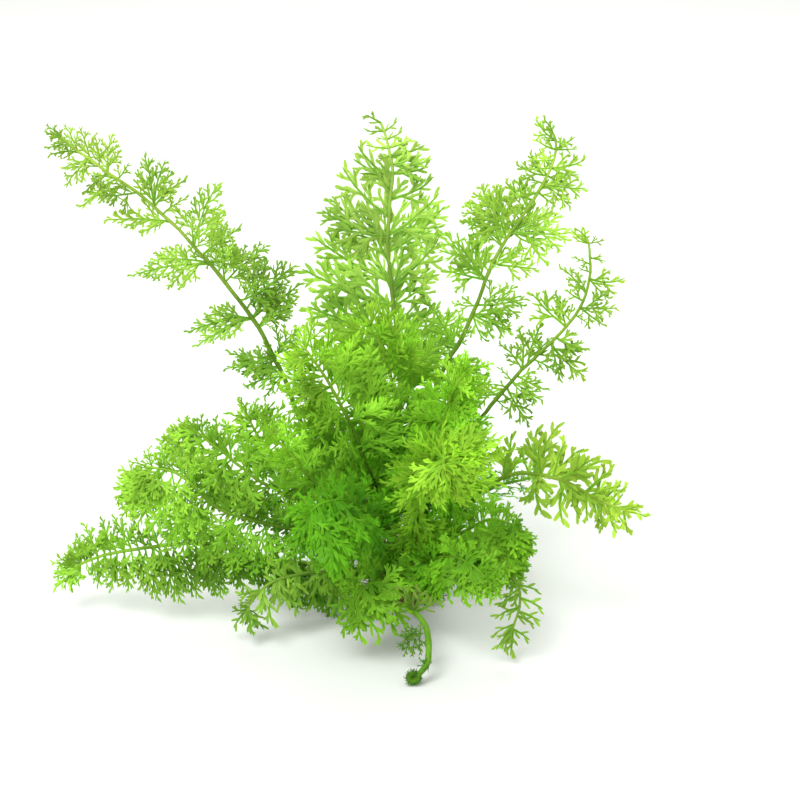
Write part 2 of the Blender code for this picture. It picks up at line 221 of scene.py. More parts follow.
pad = bmesh.new()
bmesh.ops.create_cone(pad, cap_ends=True, segments=PAD_SIDES, radius1=PAD_FOOT_RADIUS, radius2=PAD_TOP_RADIUS,
                      depth=PAD_HEIGHT)
long_edges = [edge for edge in pad.edges if edge.calc_length() > PAD_HEIGHT / 2]
bmesh.ops.subdivide_edges(pad, edges=long_edges, cuts=PAD_CUTS)
for corner in pad.verts:
    lump = dice.uniform(0.95, 1.05)
    corner.co = Vector((corner.co.x * lump, corner.co.y * lump, corner.co.z + PAD_HEIGHT / 2))
pad_mesh = bpy.data.meshes.new("root pad")
pad.to_mesh(pad_mesh)
pad.free()
bristles = bristles_tree()
roots = made_by(bristles, placed_object("root pad", pad_mesh), "matted_roots", Shapes=fibres,
                Count_a_square_metre=FIBRES / PAD_SURFACE, Lean=1.2, Seed=4, Finish=root_fibre)
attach(roots, "root")
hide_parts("roots")

# Rootstock
# The short upright stem that every frond leaves. The real one is a fleshy green-brown knob, grown over with
# the pointed papery scales that once wrapped its young fronds.

STOCK_RADIUS = 12 * MM
STOCK_CENTRE = Vector((0, 0, 16)) * MM
STOCK_FLOOR = 12.3 * MM
STOCK_SURFACE = 1.5e-3
STOCK_BLOTCH = 3 * MM
DOME_RADIUS = STOCK_RADIUS - 0.3 * MM
DOME_RINGS = 15
DOME_SIDES = 40
SCALES = 150
SCALE_KINDS = 3
SCALE_LENGTH = 4.6 * MM
SCALE_WIDENING = 1.5

# Fern rootstock: living green-brown tissue under dry scales, dull, darker in the dips.
stock_skin, nodes = new_finish("scaly fern rootstock")
place = add_node(nodes, "ShaderNodeTexCoord").outputs["Object"]
blotches = add_node(nodes, "ShaderNodeTexNoise", {"Vector": place, "Scale": 1 / STOCK_BLOTCH, "Detail": 5})
tones = add_node(nodes, "ShaderNodeValToRGB", {0: blotches.outputs[0]})
for stop, at, colour in zip(tones.color_ramp.elements, (0.32, 0.7), ("#3E4A18", "#8C9A3C")):
    stop.position = at
    stop.color = linear(colour)
dents = add_node(nodes, "ShaderNodeBump", {
    "Height": blotches.outputs[0], "Distance": 0.4 * MM, "Strength": 0.5})
skin = add_node(nodes, "ShaderNodeBsdfPrincipled", {
    "Base Color": tones.outputs[0], "Normal": dents.outputs[0], "Roughness": 0.65, "IOR": 1.42})
add_node(nodes, "ShaderNodeOutputMaterial", {"Surface": skin.outputs[0]})

scales = bpy.data.collections.new("rootstock scales")
for kind in range(SCALE_KINDS):
    bow = dice.uniform(0.25, 0.45) * SCALE_LENGTH
    walk = [Vector((share * SCALE_LENGTH, 0, bow * share ** 2 + 0.2 * MM)) for share in (-0.1, 0.3, 0.7, 1.0)]
    corners, faces = tube(walk, [0.7 * MM, 0.9 * MM, 0.5 * MM], 4)
    for corner in corners:
        corner.y *= SCALE_WIDENING
    mesh_object("scale_%d" % kind, corners, faces, scales)

lowest = math.asin((STOCK_FLOOR - STOCK_CENTRE.z) / DOME_RADIUS)
climbs = [lowest + (math.pi / 2 - lowest) * ring / DOME_RINGS for ring in range(DOME_RINGS + 1)]
heights = [STOCK_CENTRE + Vector((0, 0, DOME_RADIUS * math.sin(climb))) for climb in climbs]
rings = [DOME_RADIUS * math.cos(climb) for climb in climbs]
dome = mesh_object("rootstock dome", *tube(heights, rings, DOME_SIDES))
stock = made_by(bristles, dome, "scaly_rootstock", Shapes=scales, Count_a_square_metre=SCALES / STOCK_SURFACE,
                Lean=0.7, Seed=9, Finish=stock_skin)
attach(stock, "root")
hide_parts("rootstock")

# Leaflets
# The cut leaflets that every frond carries. Each real one is a flat green blade, split again and again into
# narrow pointed segments, so that it looks like a small antler or a fan. Seven cuts grow on this plant, from
# a fine one with threadlike segments to a broad, almost webbed one.

# What a cut says, with lengths in millimetres and angles in degrees:
# branch_every, segment_every: how far apart the side branches stand, and the segments on a branch
# branch_share: how much of the leaflet's length its longest branch has
# segment, wide: how long and how wide a last segment is
# axis, web: how wide the axis is at its foot, and a branch at its own, as a multiple of wide
# branch_angle, segment_angle: how far branches and segments spread
# forks: which share of the segments split near the tip
# sides: how many sides the ribbons have
# lift: how far branches and segments stand out of the leaflet's plane
# bend: how far the leaflet turns from its foot to its tip, in radians
# twist: how far its face is turned from the frond's
# bare: which share of the axis has no branch, at its foot
# dry: how far the tips have gone grey-brown, where 1 is wholly
CUTS = {
    "fine": dict(branch_every=2.5, segment_every=1.5, branch_share=0.62, segment=3.5, wide=0.8, axis=0.95,
                 web=1.2, branch_angle=54, segment_angle=48, forks=0.6, sides=3, lift=14, bend=0.4, twist=18,
                 bare=0.1, dry=0.6),
    "slim": dict(branch_every=2.3, segment_every=1.5, branch_share=0.44, segment=3.6, wide=0.9, axis=1.1,
                 web=1.2, branch_angle=52, segment_angle=46, forks=0.6, sides=3, lift=16, bend=0.35, twist=14,
                 bare=0.12, dry=0.6),
    "feathery": dict(branch_every=2.8, segment_every=1.75, branch_share=0.66, segment=4.0, wide=1.05,
                     axis=1.15, web=1.3, branch_angle=52, segment_angle=45, forks=0.45, sides=3, lift=12,
                     bend=0.35, twist=18, bare=0.07, dry=0.5),
    "tufted": dict(branch_every=2.8, segment_every=1.75, branch_share=0.6, segment=4.7, wide=1.0, axis=1.15,
                   web=1.2, branch_angle=46, segment_angle=38, forks=0.45, sides=3, lift=16, bend=0.5,
                   twist=24, bare=0.07, dry=0.2),
    "fan": dict(branch_every=3.2, segment_every=2.2, branch_share=0.7, segment=4.4, wide=1.02, axis=1.15,
                web=1.3, branch_angle=56, segment_angle=50, forks=0.6, sides=3, lift=9, bend=0.35, twist=10,
                bare=0.12, dry=0.5),
    "open": dict(branch_every=3.9, segment_every=3.0, branch_share=0.66, segment=6.6, wide=1.4, axis=1.5,
                 web=1.5, branch_angle=49, segment_angle=43, forks=0.35, sides=4, lift=4, bend=0.35, twist=7,
                 bare=0.03, dry=0.4),
    "broad": dict(branch_every=4.0, segment_every=3.1, branch_share=0.62, segment=6.2, wide=1.75, axis=1.7,
                  web=1.5, branch_angle=50, segment_angle=42, forks=0.35, sides=4, lift=5, bend=0.3, twist=8,
                  bare=0.04, dry=0.4),
}
LEAFLET_LENGTHS = (6, 9, 14, 20, 28, 38)
LEAFLET_SHAPES = 3

# Leaflets shorter than the full length are cut finer. Paths flutter at each knot, and branches stray from
# their angle, by up to so many degrees. Knots are shares of a path's length.
FULL_LENGTH = 20 * MM
RIB_HEIGHT = 0.07 * MM
FLUTTER = 5
STRAY = 6
SEGMENT_KNOTS = (0.55, 1)
SHORT_BRANCH_KNOTS = (0.2, 0.7, 1)
LONG_BRANCH_KNOTS = (0.12, 0.4, 0.7, 0.87, 1)
AXIS_KNOTS = (0.16, 0.33, 0.5, 0.66, 0.8, 0.92, 1)


class Blade:
    """The corners, faces and corner values of a leaflet while it grows."""

    def __init__(self, cut, dice):
        self.cut, self.dice = cut, dice
        self.corners, self.faces, self.rib, self.tip = [], [], [], []

    def stroke(self, walk, widths, normal, sides, tips, rib):
        """A closed pointed ribbon along the walk, raised along its middle."""
        first = len(self.corners)
        for i, (point, width) in enumerate(zip(walk[:-1], widths)):
            along = (walk[i + 1] - walk[max(i - 1, 0)]).normalized()
            side = normal.cross(along).normalized()
            rise = along.cross(side).normalized() * (RIB_HEIGHT + 0.05 * width)
            rim = [point + side * width / 2, point + rise, point - side * width / 2, point - rise]
            self.corners += rim[:sides]
            self.rib += [0, rib, 0, rib][:sides]
            self.tip += [tips[i] * self.cut["dry"]] * sides
        for i in range(len(walk) - 2):
            for k in range(sides):
                a, b = first + i * sides + k, first + i * sides + (k + 1) % sides
                self.faces.append((b, a, a + sides, b + sides))
        self.corners.append(walk[-1])
        self.rib.append(rib / 2)
        self.tip.append(self.cut["dry"])
        end = len(self.corners) - 1
        self.faces += [(end - sides + (k + 1) % sides, end - sides + k, end) for k in range(sides)]
        self.faces.append(tuple(range(first, first + sides)))

    def walk(self, start, heading, normal, knots, length, turn, droop):
        """Points and headings of a path that turns in its plane and bows out of it, with knots at shares of
        its length."""
        points, headings, gone = [start], [heading], 0
        for share in knots:
            flutter = math.radians(self.dice.uniform(-FLUTTER, FLUTTER))
            yaw = Matrix.Rotation((share - gone) * turn + flutter, 3, normal)
            heading = (yaw @ heading + normal * droop * (share - gone)).normalized()
            points.append(points[-1] + heading * length * (share - gone))
            headings.append(heading)
            gone = share
        return points, headings

    def along(self, points, knots, share):
        """The point at a share of a path, and the number of the stretch it lies on."""
        knot = max(i for i in range(len(knots) - 1) if knots[i] <= share)
        onward = (share - knots[knot]) / (knots[knot + 1] - knots[knot])
        return points[knot].lerp(points[knot + 1], onward), knot

    def aside(self, heading, normal, hand, angle):
        """The heading of a twig that leaves another on one hand at an angle in degrees, and its face, which
        is lifted out of the leaflet's plane."""
        yaw = hand * math.radians(angle + self.dice.uniform(-STRAY, STRAY))
        lift = Matrix.Rotation(math.radians(self.dice.uniform(-1, 1) * self.cut["lift"]), 3, heading)
        return lift @ Matrix.Rotation(yaw, 3, normal) @ heading, lift @ normal

    def segment(self, start, heading, normal, length, forked, turn):
        """A last narrow piece, which may split near its tip."""
        cut, dice = self.cut, self.dice
        wide = cut["wide"] * MM * dice.uniform(0.85, 1.15)
        droop = dice.uniform(-0.4, 0.25)
        points, headings = self.walk(start, heading, normal, SEGMENT_KNOTS, length, turn, droop)
        if cut["sides"] == 4:
            points.insert(2, points[1].lerp(points[2], 0.6) - normal * 0.1 * MM)
        self.stroke(points, [wide * 1.1, wide, wide * 0.85], normal, cut["sides"], (0, 0.3, 0.7), 0.25)
        if forked:
            side = dice.choice((-1, 1))
            aim = Matrix.Rotation(side * math.radians(dice.uniform(32, 46)), 3, normal) @ headings[1]
            foot = points[0].lerp(points[1], 0.8)
            end = foot + aim * length * dice.uniform(0.45, 0.62)
            self.stroke([foot, foot.lerp(end, 0.6), end], [wide * 0.9, wide * 0.85], normal, cut["sides"],
                        (0.2, 0.5), 0.25)

    def branch(self, start, heading, normal, length, side):
        """A side branch with smaller ones left and right, or a lone segment where it is short."""
        cut, dice = self.cut, self.dice
        segment = cut["segment"] * MM
        if length < segment * 1.25:
            self.segment(start, heading, normal, length, dice.random() < cut["forks"], -side * 0.3)
            return
        knots = LONG_BRANCH_KNOTS if length > 2 * segment else SHORT_BRANCH_KNOTS
        droop = dice.uniform(-0.35, 0.2)
        points, headings = self.walk(start, heading, normal, knots, length, -side * 0.35, droop)
        wide = cut["wide"] * MM
        widths = [wide * (cut["web"] if share == 0 else 1 - 0.2 * share) for share in (0, *knots)]
        self.stroke(points, widths, normal, cut["sides"], [0] * (len(knots) - 1) + [0.6], 0.7)
        at = 0.4 * cut["segment_every"] * MM + 0.08 * length
        hand = -side
        while at < length - 0.3 * segment:
            share = at / length
            foot, knot = self.along(points, (0, *knots), share)
            aim, face = self.aside(headings[knot], normal, hand, cut["segment_angle"] * (1.15 - 0.35 * share))
            reach = max(min(segment, length * (1 - share)), length * cut["branch_share"] * (1 - share) ** 0.9)
            reach *= dice.uniform(0.85, 1.12)
            self.branch(foot, aim, face, reach, hand)
            at += cut["segment_every"] * MM * dice.uniform(0.85, 1.15) * (0.65 + 0.35 * reach / segment)
            hand = -hand

    def grow(self, length, hand):
        """The whole leaflet, along +X with its face to +Z, which bends to its hand."""
        narrow = min(1, length / FULL_LENGTH) ** 0.4
        self.cut = {**self.cut, **{size: self.cut[size] * narrow for size in (
            "branch_every", "segment_every", "segment", "wide", "axis")}}
        cut, dice = self.cut, self.dice
        start, heading, normal = Vector((0, 0, 0)), Vector((1, 0, 0)), Vector((0, 0, 1))
        turn = hand * cut["bend"] * dice.uniform(0.6, 1.5)
        droop = dice.uniform(-0.03, -0.003) * cut["lift"]
        points, headings = self.walk(start, heading, normal, AXIS_KNOTS, length, turn, droop)
        widths = [cut["axis"] * MM * (1.1 - 0.6 * share) for share in (0, *AXIS_KNOTS)]
        self.stroke(points, widths, normal, 4, (0, 0, 0, 0, 0, 0.1, 0.5), 1)
        at = cut["bare"] * length + 0.6 * MM
        side = hand
        while at < length - 0.3 * cut["segment"] * MM:
            share = at / length
            foot, knot = self.along(points, (0, *AXIS_KNOTS), share)
            outline = min(1, 0.7 + 2.2 * share) * (1 - share) ** 0.8
            reach = length * cut["branch_share"] * outline * dice.uniform(0.85, 1.15)
            reach = max(reach, min(0.8 * cut["segment"] * MM, 0.5 * length))
            aim, face = self.aside(headings[knot], normal, side, cut["branch_angle"] * (1.15 - 0.4 * share))
            self.branch(foot, aim, face, reach, side)
            at += cut["branch_every"] * MM * (1.15 - 0.45 * share) * dice.uniform(0.9, 1.1)
            side = -side
        tip = points[-1]
        level = Matrix.Rotation(-math.atan2(tip.y, tip.x), 3, "Z")
        level = Matrix.Rotation(math.atan2(tip.z, tip.xy.length), 3, "Y") @ level
        self.corners = [level @ corner * length / tip.length for corner in self.corners]


def store(mesh, name, kind, values, field="value"):
    """Keeps a value for each point of a mesh as a named attribute."""
    kept = mesh.attributes.new(name, kind, "POINT")
    kept.data.foreach_set(field, np.array(values, dtype=np.int32 if kind == "INT" else np.float32).ravel())


def leaflet_name(cut, length, hand, shape):
    """What a kind of leaflet is called, by its length in millimetres and the hand it bends to."""
    return "leaflet_%s_%02d_%s_%d" % (cut, length, "left" if hand < 0 else "right", shape)


leaflets = bpy.data.collections.new("leaflets")
leaflet_kinds = []
for cut, length, hand, shape in itertools.product(CUTS, LEAFLET_LENGTHS, (-1, 1), range(LEAFLET_SHAPES)):
    name = leaflet_name(cut, length, hand, shape)
    blade = Blade(CUTS[cut], random.Random(name))
    blade.grow(length * MM, hand)
    made = mesh_object(name, blade.corners, blade.faces, leaflets)
    store(made.data, "rib", "FLOAT", blade.rib)
    store(made.data, "tip", "FLOAT", blade.tip)
    leaflet_kinds.append(name)
leaflet_kinds.sort()

# Fronds
# The twenty-four open fronds. A real one is a single fleshy leaf: a ridged green stalk, thick at the
# rootstock, that carries its leaflets left and right in turn and thins out to a last small one.

PICTURE = 800
PIXEL_SIZE = 0.45 * MM
VIEW_TILT = math.radians(22)
VIEW_DISTANCE = 900 * MM
VIEW_AIM = Vector((-3.6, 0.0, 94.7)) * MM
VIEW_AHEAD = Vector((0, math.cos(VIEW_TILT), -math.sin(VIEW_TILT)))
VIEW_UP = Vector((0, math.sin(VIEW_TILT), math.cos(VIEW_TILT)))
VIEW_EYE = VIEW_AIM - VIEW_AHEAD * VIEW_DISTANCE
STALK_POINTS = 49
STALK_RIDGES = 5
STALK_TIP_SHARE = 0.42
SPREAD_AT_TIP = math.radians(38)
TIP_LEAFLET = 9 * MM
GAP = 0.3 * MM
RUFFLE = 3.0 * MM
RUFFLE_LENGTH = 14 * MM
CREASE = math.radians(75)
STEM_FOOT = "#1E5C08"
LEAF_CELL = 1.2 * MM
LEAF_CLOUD = 18 * MM


def seen_at(across, down, depth):
    """The point that the photograph shows at a pixel, at a depth in millimetres behind the rootstock."""
    offset = Vector((1, 0, 0)) * (across - PICTURE / 2) + VIEW_UP * (PICTURE / 2 - down)
    ray = VIEW_AHEAD + offset * PIXEL_SIZE / VIEW_DISTANCE
    return VIEW_EYE + ray * ((depth * MM - VIEW_EYE.y) / ray.y)


def picture(*points):
    """A route read off the photograph, each point as pixels across, pixels down and depth in millimetres."""
    return [seen_at(*point) for point in points]


def arch(azimuth, rise, fall, length, steps=5):
    """A route that leaves the rootstock at an azimuth and bends from one climb to another, in degrees."""
    heading = math.radians(azimuth)
    outward = Vector((math.cos(heading), math.sin(heading), 0))
    route = [STOCK_CENTRE]
    for step in range(steps):
        climb = math.radians(rise + (fall - rise) * (step + 0.5) / steps)
        ahead = outward * math.cos(climb) + Vector((0, 0, math.sin(climb)))
        route.append(route[-1] + ahead * length * MM / steps)
    return route[1:]


# Each frond: its route from the rootstock out, its stalk's radius in millimetres, which way its blade faces,
# how its leaflets are cut, how many more stand out from its plane for each one in it, and their greens at its
# foot and at its tip. Where the photograph shows single leaflets, they are listed by their foot and tip, in
# pixels across and down, and by their own cut where it isn't the frond's. The other fronds say how much of
# the stalk is bare, how many leaflets it has, the longest one in millimetres, how far the lowest spread from
# the stalk in degrees, and how quickly the blade narrows.
# Painted light: the greens are partly each frond's own colour and partly painted light. The fronds inside the
# plant have brighter greens than the outer ones, to make up for the shade that falls on them.
FRONDS = {
    "frond_upper_left": dict(
        route=picture((370, 545, 3), (318, 465, 8), (285, 381, 14), (250, 314, 18), (204, 258, 21),
                      (153, 205, 21), (109, 174, 19), (46, 126, 14)),
        seen=((284, 380, 226, 352, "slim"), (283, 376, 242, 388, "slim"), (278, 366, 262, 341),
              (250, 316, 186, 334, "slim"), (204, 263, 128, 280, "slim"), (172, 226, 103, 220, "slim"),
              (130, 190, 78, 208, "slim"), (88, 167, 65, 188), (74, 155, 48, 156, "slim"),
              (274, 352, 304, 326), (262, 330, 300, 300), (248, 308, 298, 262), (233, 280, 270, 246),
              (232, 278, 226, 219), (218, 262, 258, 258, "slim"), (196, 242, 220, 184), (160, 204, 144, 154),
              (156, 200, 188, 178, "slim"), (110, 174, 114, 131), (84, 156, 80, 126), (72, 152, 62, 124),
              (60, 140, 47, 132), (98, 168, 94, 134), (70, 150, 44, 148, "slim"), (116, 180, 88, 200, "slim"),
              (204, 263, 150, 262, "slim"), (250, 316, 204, 316, "slim"), (281, 372, 222, 372, "slim"),
              (279, 366, 250, 372, "slim"), (172, 226, 132, 224, "slim"), (256, 322, 284, 286, "slim"),
              (200, 250, 196, 214, "slim"), (84, 160, 60, 168, "slim"), (160, 210, 190, 196, "slim"),
              (104, 172, 82, 196, "slim"), (250, 318, 194, 346, "slim"), (283, 378, 264, 400, "slim"),
              (258, 322, 306, 282, "slim"), (206, 255, 242, 226, "slim"), (160, 204, 166, 158),
              (58, 138, 42, 130, "slim"), (120, 182, 90, 172, "slim")),
        stalk=1.5, face=(0.1, -1, 0.2), cut="fine", more=0.1, greens=("#68AE26", "#C6DE64")),
    "frond_top": dict(
        route=picture((397, 520, 13), (400, 387, 24), (398, 340, 27), (389, 252, 31), (390, 203, 31),
                      (392, 170, 30), (381, 124, 27), (367, 116, 24)),
        seen=((380, 121, 366, 130), (384, 128, 398, 122), (385, 133, 370, 131), (388, 140, 403, 131),
              (388, 142, 376, 138), (391, 146, 413, 138), (388, 150, 366, 144), (391, 158, 426, 146),
              (393, 168, 432, 158), (389, 179, 353, 158), (389, 180, 357, 146), (392, 200, 433, 178),
              (389, 218, 341, 166), (389, 232, 320, 206), (393, 232, 440, 192), (389, 246, 328, 198),
              (390, 256, 447, 206), (391, 282, 309, 237), (393, 284, 440, 238), (394, 306, 299, 266),
              (396, 310, 436, 274), (397, 338, 304, 300), (398, 340, 466, 316), (399, 372, 330, 318),
              (400, 372, 456, 326), (392, 290, 406, 244), (392, 290, 376, 250), (391, 270, 404, 228),
              (390, 262, 374, 222), (392, 176, 430, 170), (391, 160, 422, 164), (397, 335, 442, 306),
              (396, 325, 426, 294), (389, 190, 372, 168)),
        stalk=1.5, face=(0, -1, 0.1), cut="open", more=0.5, greens=("#98CC3E", "#CEE878")),
    "frond_upper_right": dict(
        route=picture((421, 520, 5), (438, 385, 14), (465, 334, 18), (484, 284, 21), (507, 238, 23),
                      (534, 199, 23), (557, 150, 21), (545, 119, 18)),
        seen=((549, 124, 534, 120), (557, 149, 536, 139), (557, 150, 576, 137), (558, 154, 579, 148),
              (553, 167, 587, 160), (552, 168, 582, 176), (551, 173, 516, 164), (550, 174, 530, 150),
              (553, 166, 538, 148), (542, 184, 587, 188), (541, 186, 572, 208), (530, 200, 504, 182),
              (528, 203, 520, 175), (526, 206, 506, 204), (511, 229, 576, 230), (511, 229, 554, 210),
              (510, 231, 545, 250), (506, 232, 465, 200), (506, 232, 480, 182), (505, 233, 498, 182),
              (504, 236, 463, 220), (497, 262, 539, 266), (497, 262, 522, 247), (486, 276, 443, 230),
              (486, 277, 456, 238), (485, 278, 443, 268), (476, 309, 530, 298), (476, 311, 514, 330),
              (475, 312, 488, 342), (475, 310, 451, 304), (461, 346, 434, 308), (460, 348, 474, 326, "slim"),
              (447, 383, 486, 364), (446, 386, 488, 394), (556, 158, 530, 158), (536, 194, 556, 208),
              (544, 180, 520, 178, "slim"),
              (552, 172, 526, 170, "slim"), (450, 384, 498, 382), (447, 385, 484, 406),
              (540, 190, 566, 176, "slim")),
        stalk=1.5, face=(-0.1, -1, 0.2), cut="fan", more=0.2, greens=("#78B828", "#C8E464")),
    "frond_right_arch": dict(
        route=picture((440, 500, -2), (477, 426, -2), (511, 382, 0), (539, 355, 2), (576, 313, 4),
                      (590, 275, 3), (589, 242, 1), (575, 228, -2)),
        seen=((589, 240, 571, 227), (589, 241, 606, 240), (590, 246, 574, 238), (591, 256, 607, 262),
              (591, 279, 627, 279), (591, 282, 613, 299), (583, 292, 555, 267, "slim"),
              (584, 290, 572, 272, "slim"), (578, 306, 619, 309), (576, 309, 606, 326), (559, 325, 530, 293),
              (560, 326, 553, 291, "slim"), (553, 340, 588, 350), (550, 344, 586, 379),
              (548, 347, 562, 383, "slim"), (520, 364, 518, 326, "slim"), (518, 366, 498, 342, "slim"),
              (521, 363, 540, 320, "slim"), (511, 384, 545, 400), (508, 387, 530, 424), (497, 392, 468, 392),
              (514, 382, 498, 368, "slim"), (504, 392, 516, 410, "slim"), (590, 262, 574, 256, "slim"),
              (538, 352, 532, 330, "slim"), (528, 358, 560, 372, "slim")),
        stalk=1.3, face=(-0.2, -1, 0.3), cut="fan", more=0.35, greens=("#74B028", "#C0DC5C")),
    "frond_right_low": dict(
        route=picture((440, 545, -10), (479, 495, -24), (513, 475, -33), (557, 478, -40), (603, 502, -43),
                      (646, 517, -45)),
        seen=((508, 477, 500, 442), (511, 478, 517, 434), (536, 475, 541, 427), (537, 475, 562, 425),
              (551, 477, 567, 442), (552, 477, 585, 445), (566, 484, 609, 460), (585, 495, 614, 471),
              (602, 504, 623, 485), (614, 509, 640, 505), (536, 478, 529, 503), (538, 480, 547, 519),
              (563, 487, 564, 526), (566, 488, 581, 518), (584, 497, 588, 522), (599, 505, 603, 531),
              (607, 509, 618, 535), (618, 515, 629, 534), (598, 500, 606, 468), (607, 506, 628, 488),
              (622, 517, 640, 511), (566, 484, 596, 458), (590, 498, 604, 524)),
        stalk=1.4, face=(0, -0.9, 0.6), cut="broad", more=0.9, greens=("#88BA30", "#BEDA50")),
    "frond_left_low": dict(
        route=picture((362, 570, -12), (320, 566, -18), (273, 560, -22), (240, 551, -24), (193, 543, -25),
                      (142, 549, -25), (100, 556, -24), (55, 578, -22)),
        seen=((62, 572, 56, 554), (73, 565, 66, 542), (84, 560, 76, 530), (98, 556, 84, 522),
              (112, 552, 98, 516), (128, 550, 114, 514), (144, 549, 134, 518), (62, 574, 52, 589),
              (70, 568, 62, 588), (82, 562, 78, 586), (96, 558, 96, 590), (110, 555, 110, 592),
              (126, 553, 128, 592), (146, 550, 160, 602), (158, 549, 182, 604), (176, 546, 200, 598),
              (194, 545, 216, 596), (211, 549, 220, 600), (239, 553, 234, 582), (160, 547, 148, 520),
              (176, 545, 164, 516), (190, 543, 180, 514), (212, 547, 202, 516), (226, 549, 244, 592),
              (240, 551, 260, 590), (262, 557, 294, 594), (284, 562, 302, 610), (300, 564, 326, 614),
              (318, 566, 338, 620), (104, 556, 108, 528), (90, 559, 92, 530), (78, 563, 84, 540),
              (54, 578, 50, 562), (66, 571, 60, 558), (68, 570, 72, 592)),
        stalk=1.5, face=(0, -0.9, 0.5), cut="feathery", more=1.6, greens=("#60A41C", "#A8D448")),
    "frond_left_middle": dict(
        route=picture((366, 552, -17), (300, 532, -28), (224, 511, -38), (180, 475, -44), (128, 462, -46)),
        seen=((133, 462, 132, 478), (140, 464, 142, 450), (140, 465, 126, 498), (152, 468, 150, 446),
              (152, 469, 128, 520), (166, 472, 160, 440), (166, 473, 136, 530), (181, 476, 170, 430),
              (181, 478, 142, 538), (198, 488, 182, 440), (198, 490, 160, 550), (212, 500, 194, 452),
              (212, 502, 182, 562), (226, 512, 206, 462), (228, 513, 204, 570), (244, 516, 226, 474),
              (250, 520, 230, 576), (266, 524, 244, 482), (270, 526, 254, 580), (290, 530, 270, 492),
              (292, 532, 280, 580), (166, 473, 120, 522), (152, 469, 116, 508)),
        stalk=1.4, face=(0.2, -1, 0.5), cut="fine", more=1.3, greens=("#6CBA1E", "#B4E04C")),
    "frond_left_upper": dict(
        route=picture((368, 546, -10), (316, 512, -20), (258, 480, -28), (215, 446, -32), (178, 420, -34)),
        seen=((180, 421, 172, 430), (188, 426, 184, 416), (188, 427, 156, 442), (200, 435, 200, 414),
              (200, 437, 158, 456), (214, 445, 214, 416), (216, 448, 172, 474), (230, 457, 226, 418),
              (232, 460, 184, 490), (246, 470, 244, 424), (248, 473, 200, 506), (262, 482, 260, 436),
              (264, 485, 218, 518), (280, 493, 280, 448), (282, 496, 242, 528), (300, 504, 302, 462),
              (304, 507, 268, 536)),
        stalk=1.3, face=(0.2, -1, 0.4), cut="feathery", more=1.5, greens=("#6CBA1E", "#B4E04C")),
    "frond_left_shoulder": dict(
        route=picture((373, 538, -2), (338, 505, -8), (290, 468, -14), (258, 436, -18), (240, 400, -20)),
        seen=((241, 405, 236, 399), (243, 409, 258, 398), (246, 416, 226, 412), (249, 421, 276, 402),
              (252, 427, 218, 424), (256, 433, 284, 402), (259, 438, 224, 440), (265, 444, 296, 412),
              (270, 449, 234, 456), (278, 457, 310, 424), (282, 461, 246, 474), (290, 468, 322, 436),
              (296, 472, 262, 492), (306, 480, 338, 450), (314, 487, 284, 510), (324, 495, 352, 470)),
        stalk=1.3, face=(0.2, -1, 0.3), cut="tufted", more=2.0, greens=("#74C41E", "#BCE44C")),
    "frond_left_drooping": dict(
        route=picture((371, 575, -26), (330, 572, -38), (290, 576, -46), (260, 592, -50), (234, 626, -52)),
        seen=((240, 618, 231, 611), (243, 614, 252, 629), (250, 604, 238, 602), (262, 590, 236, 594),
              (263, 590, 274, 626), (272, 584, 262, 570), (274, 583, 280, 606), (284, 578, 270, 560),
              (285, 578, 286, 606), (298, 574, 288, 552), (300, 574, 298, 606), (314, 572, 306, 548),
              (316, 573, 312, 612), (328, 572, 322, 546), (330, 573, 330, 616), (342, 572, 338, 546),
              (344, 574, 346, 618), (354, 574, 350, 550), (356, 575, 358, 612), (243, 614, 264, 632),
              (238, 622, 252, 636), (276, 581, 300, 616)),
        stalk=1.2, face=(0.2, -0.9, 0.5), cut="open", more=1.2, greens=("#6CA81C", "#A4C850")),
    "frond_right_drooping": dict(
        route=picture((440, 573, -26), (478, 566, -46), (507, 572, -60), (519, 600, -68), (506, 650, -72)),
        seen=((506, 640, 497, 651), (507, 642, 511, 657), (510, 630, 529, 641), (512, 624, 494, 634),
              (515, 612, 541, 622), (517, 606, 494, 620), (518, 598, 543, 608), (518, 596, 497, 608),
              (514, 584, 538, 590), (510, 578, 496, 592), (500, 571, 490, 592), (502, 570, 510, 552),
              (488, 568, 478, 592), (490, 567, 496, 546), (476, 567, 468, 592), (478, 566, 482, 544),
              (464, 570, 456, 592), (466, 569, 468, 546)),
        stalk=1.2, face=(-0.1, -1, 0.3), cut="open", more=0.5, greens=("#6CA81C", "#A4C850")),
    # Painted light: these three crown fronds and the inner left one below have brighter greens than the outer
    # fronds, to make up for the shade inside the plant.
    "frond_crown_left": dict(
        route=picture((385, 520, -10), (358, 440, -22), (330, 385, -32), (305, 350, -40), (284, 332, -46)),
        bare=0.15, leaflets=18, reach=36, stalk=1.3, face=(0.2, -1, 0.5), spread=66, taper=0.25,
        cut="tufted", more=2.6, greens=("#7ED41E", "#C4EA52")),
    "frond_crown_middle": dict(
        route=picture((405, 500, -6), (400, 420, -10), (388, 368, -16), (372, 330, -22), (352, 306, -30)),
        bare=0.15, leaflets=18, reach=34, stalk=1.3, face=(0, -1, 0.4), spread=66, taper=0.25,
        cut="tufted", more=2.6, greens=("#82D822", "#C4EA52")),
    "frond_crown_right": dict(
        route=picture((424, 525, -12), (436, 460, -20), (446, 410, -26), (462, 376, -32), (492, 362, -38)),
        bare=0.15, leaflets=17, reach=28, stalk=1.3, face=(-0.1, -1, 0.4), spread=66, taper=0.3,
        cut="feathery", more=2.6, greens=("#7CD420", "#BCEC48")),
    "frond_left_inner": dict(
        route=picture((371, 538, -24), (320, 488, -40), (286, 450, -46), (268, 428, -52), (256, 408, -56)),
        bare=0.12, leaflets=14, reach=29, stalk=1.2, face=(0.3, -1, 0.5), spread=66, taper=0.4,
        cut="tufted", more=2.6, greens=("#78CC20", "#B8E848")),
    "frond_front_left": dict(
        route=picture((390, 540, -26), (366, 515, -48), (345, 500, -62), (320, 504, -72), (296, 530, -80)),
        seen=((298, 526, 288, 546), (300, 522, 306, 560), (306, 514, 284, 520), (308, 512, 314, 572),
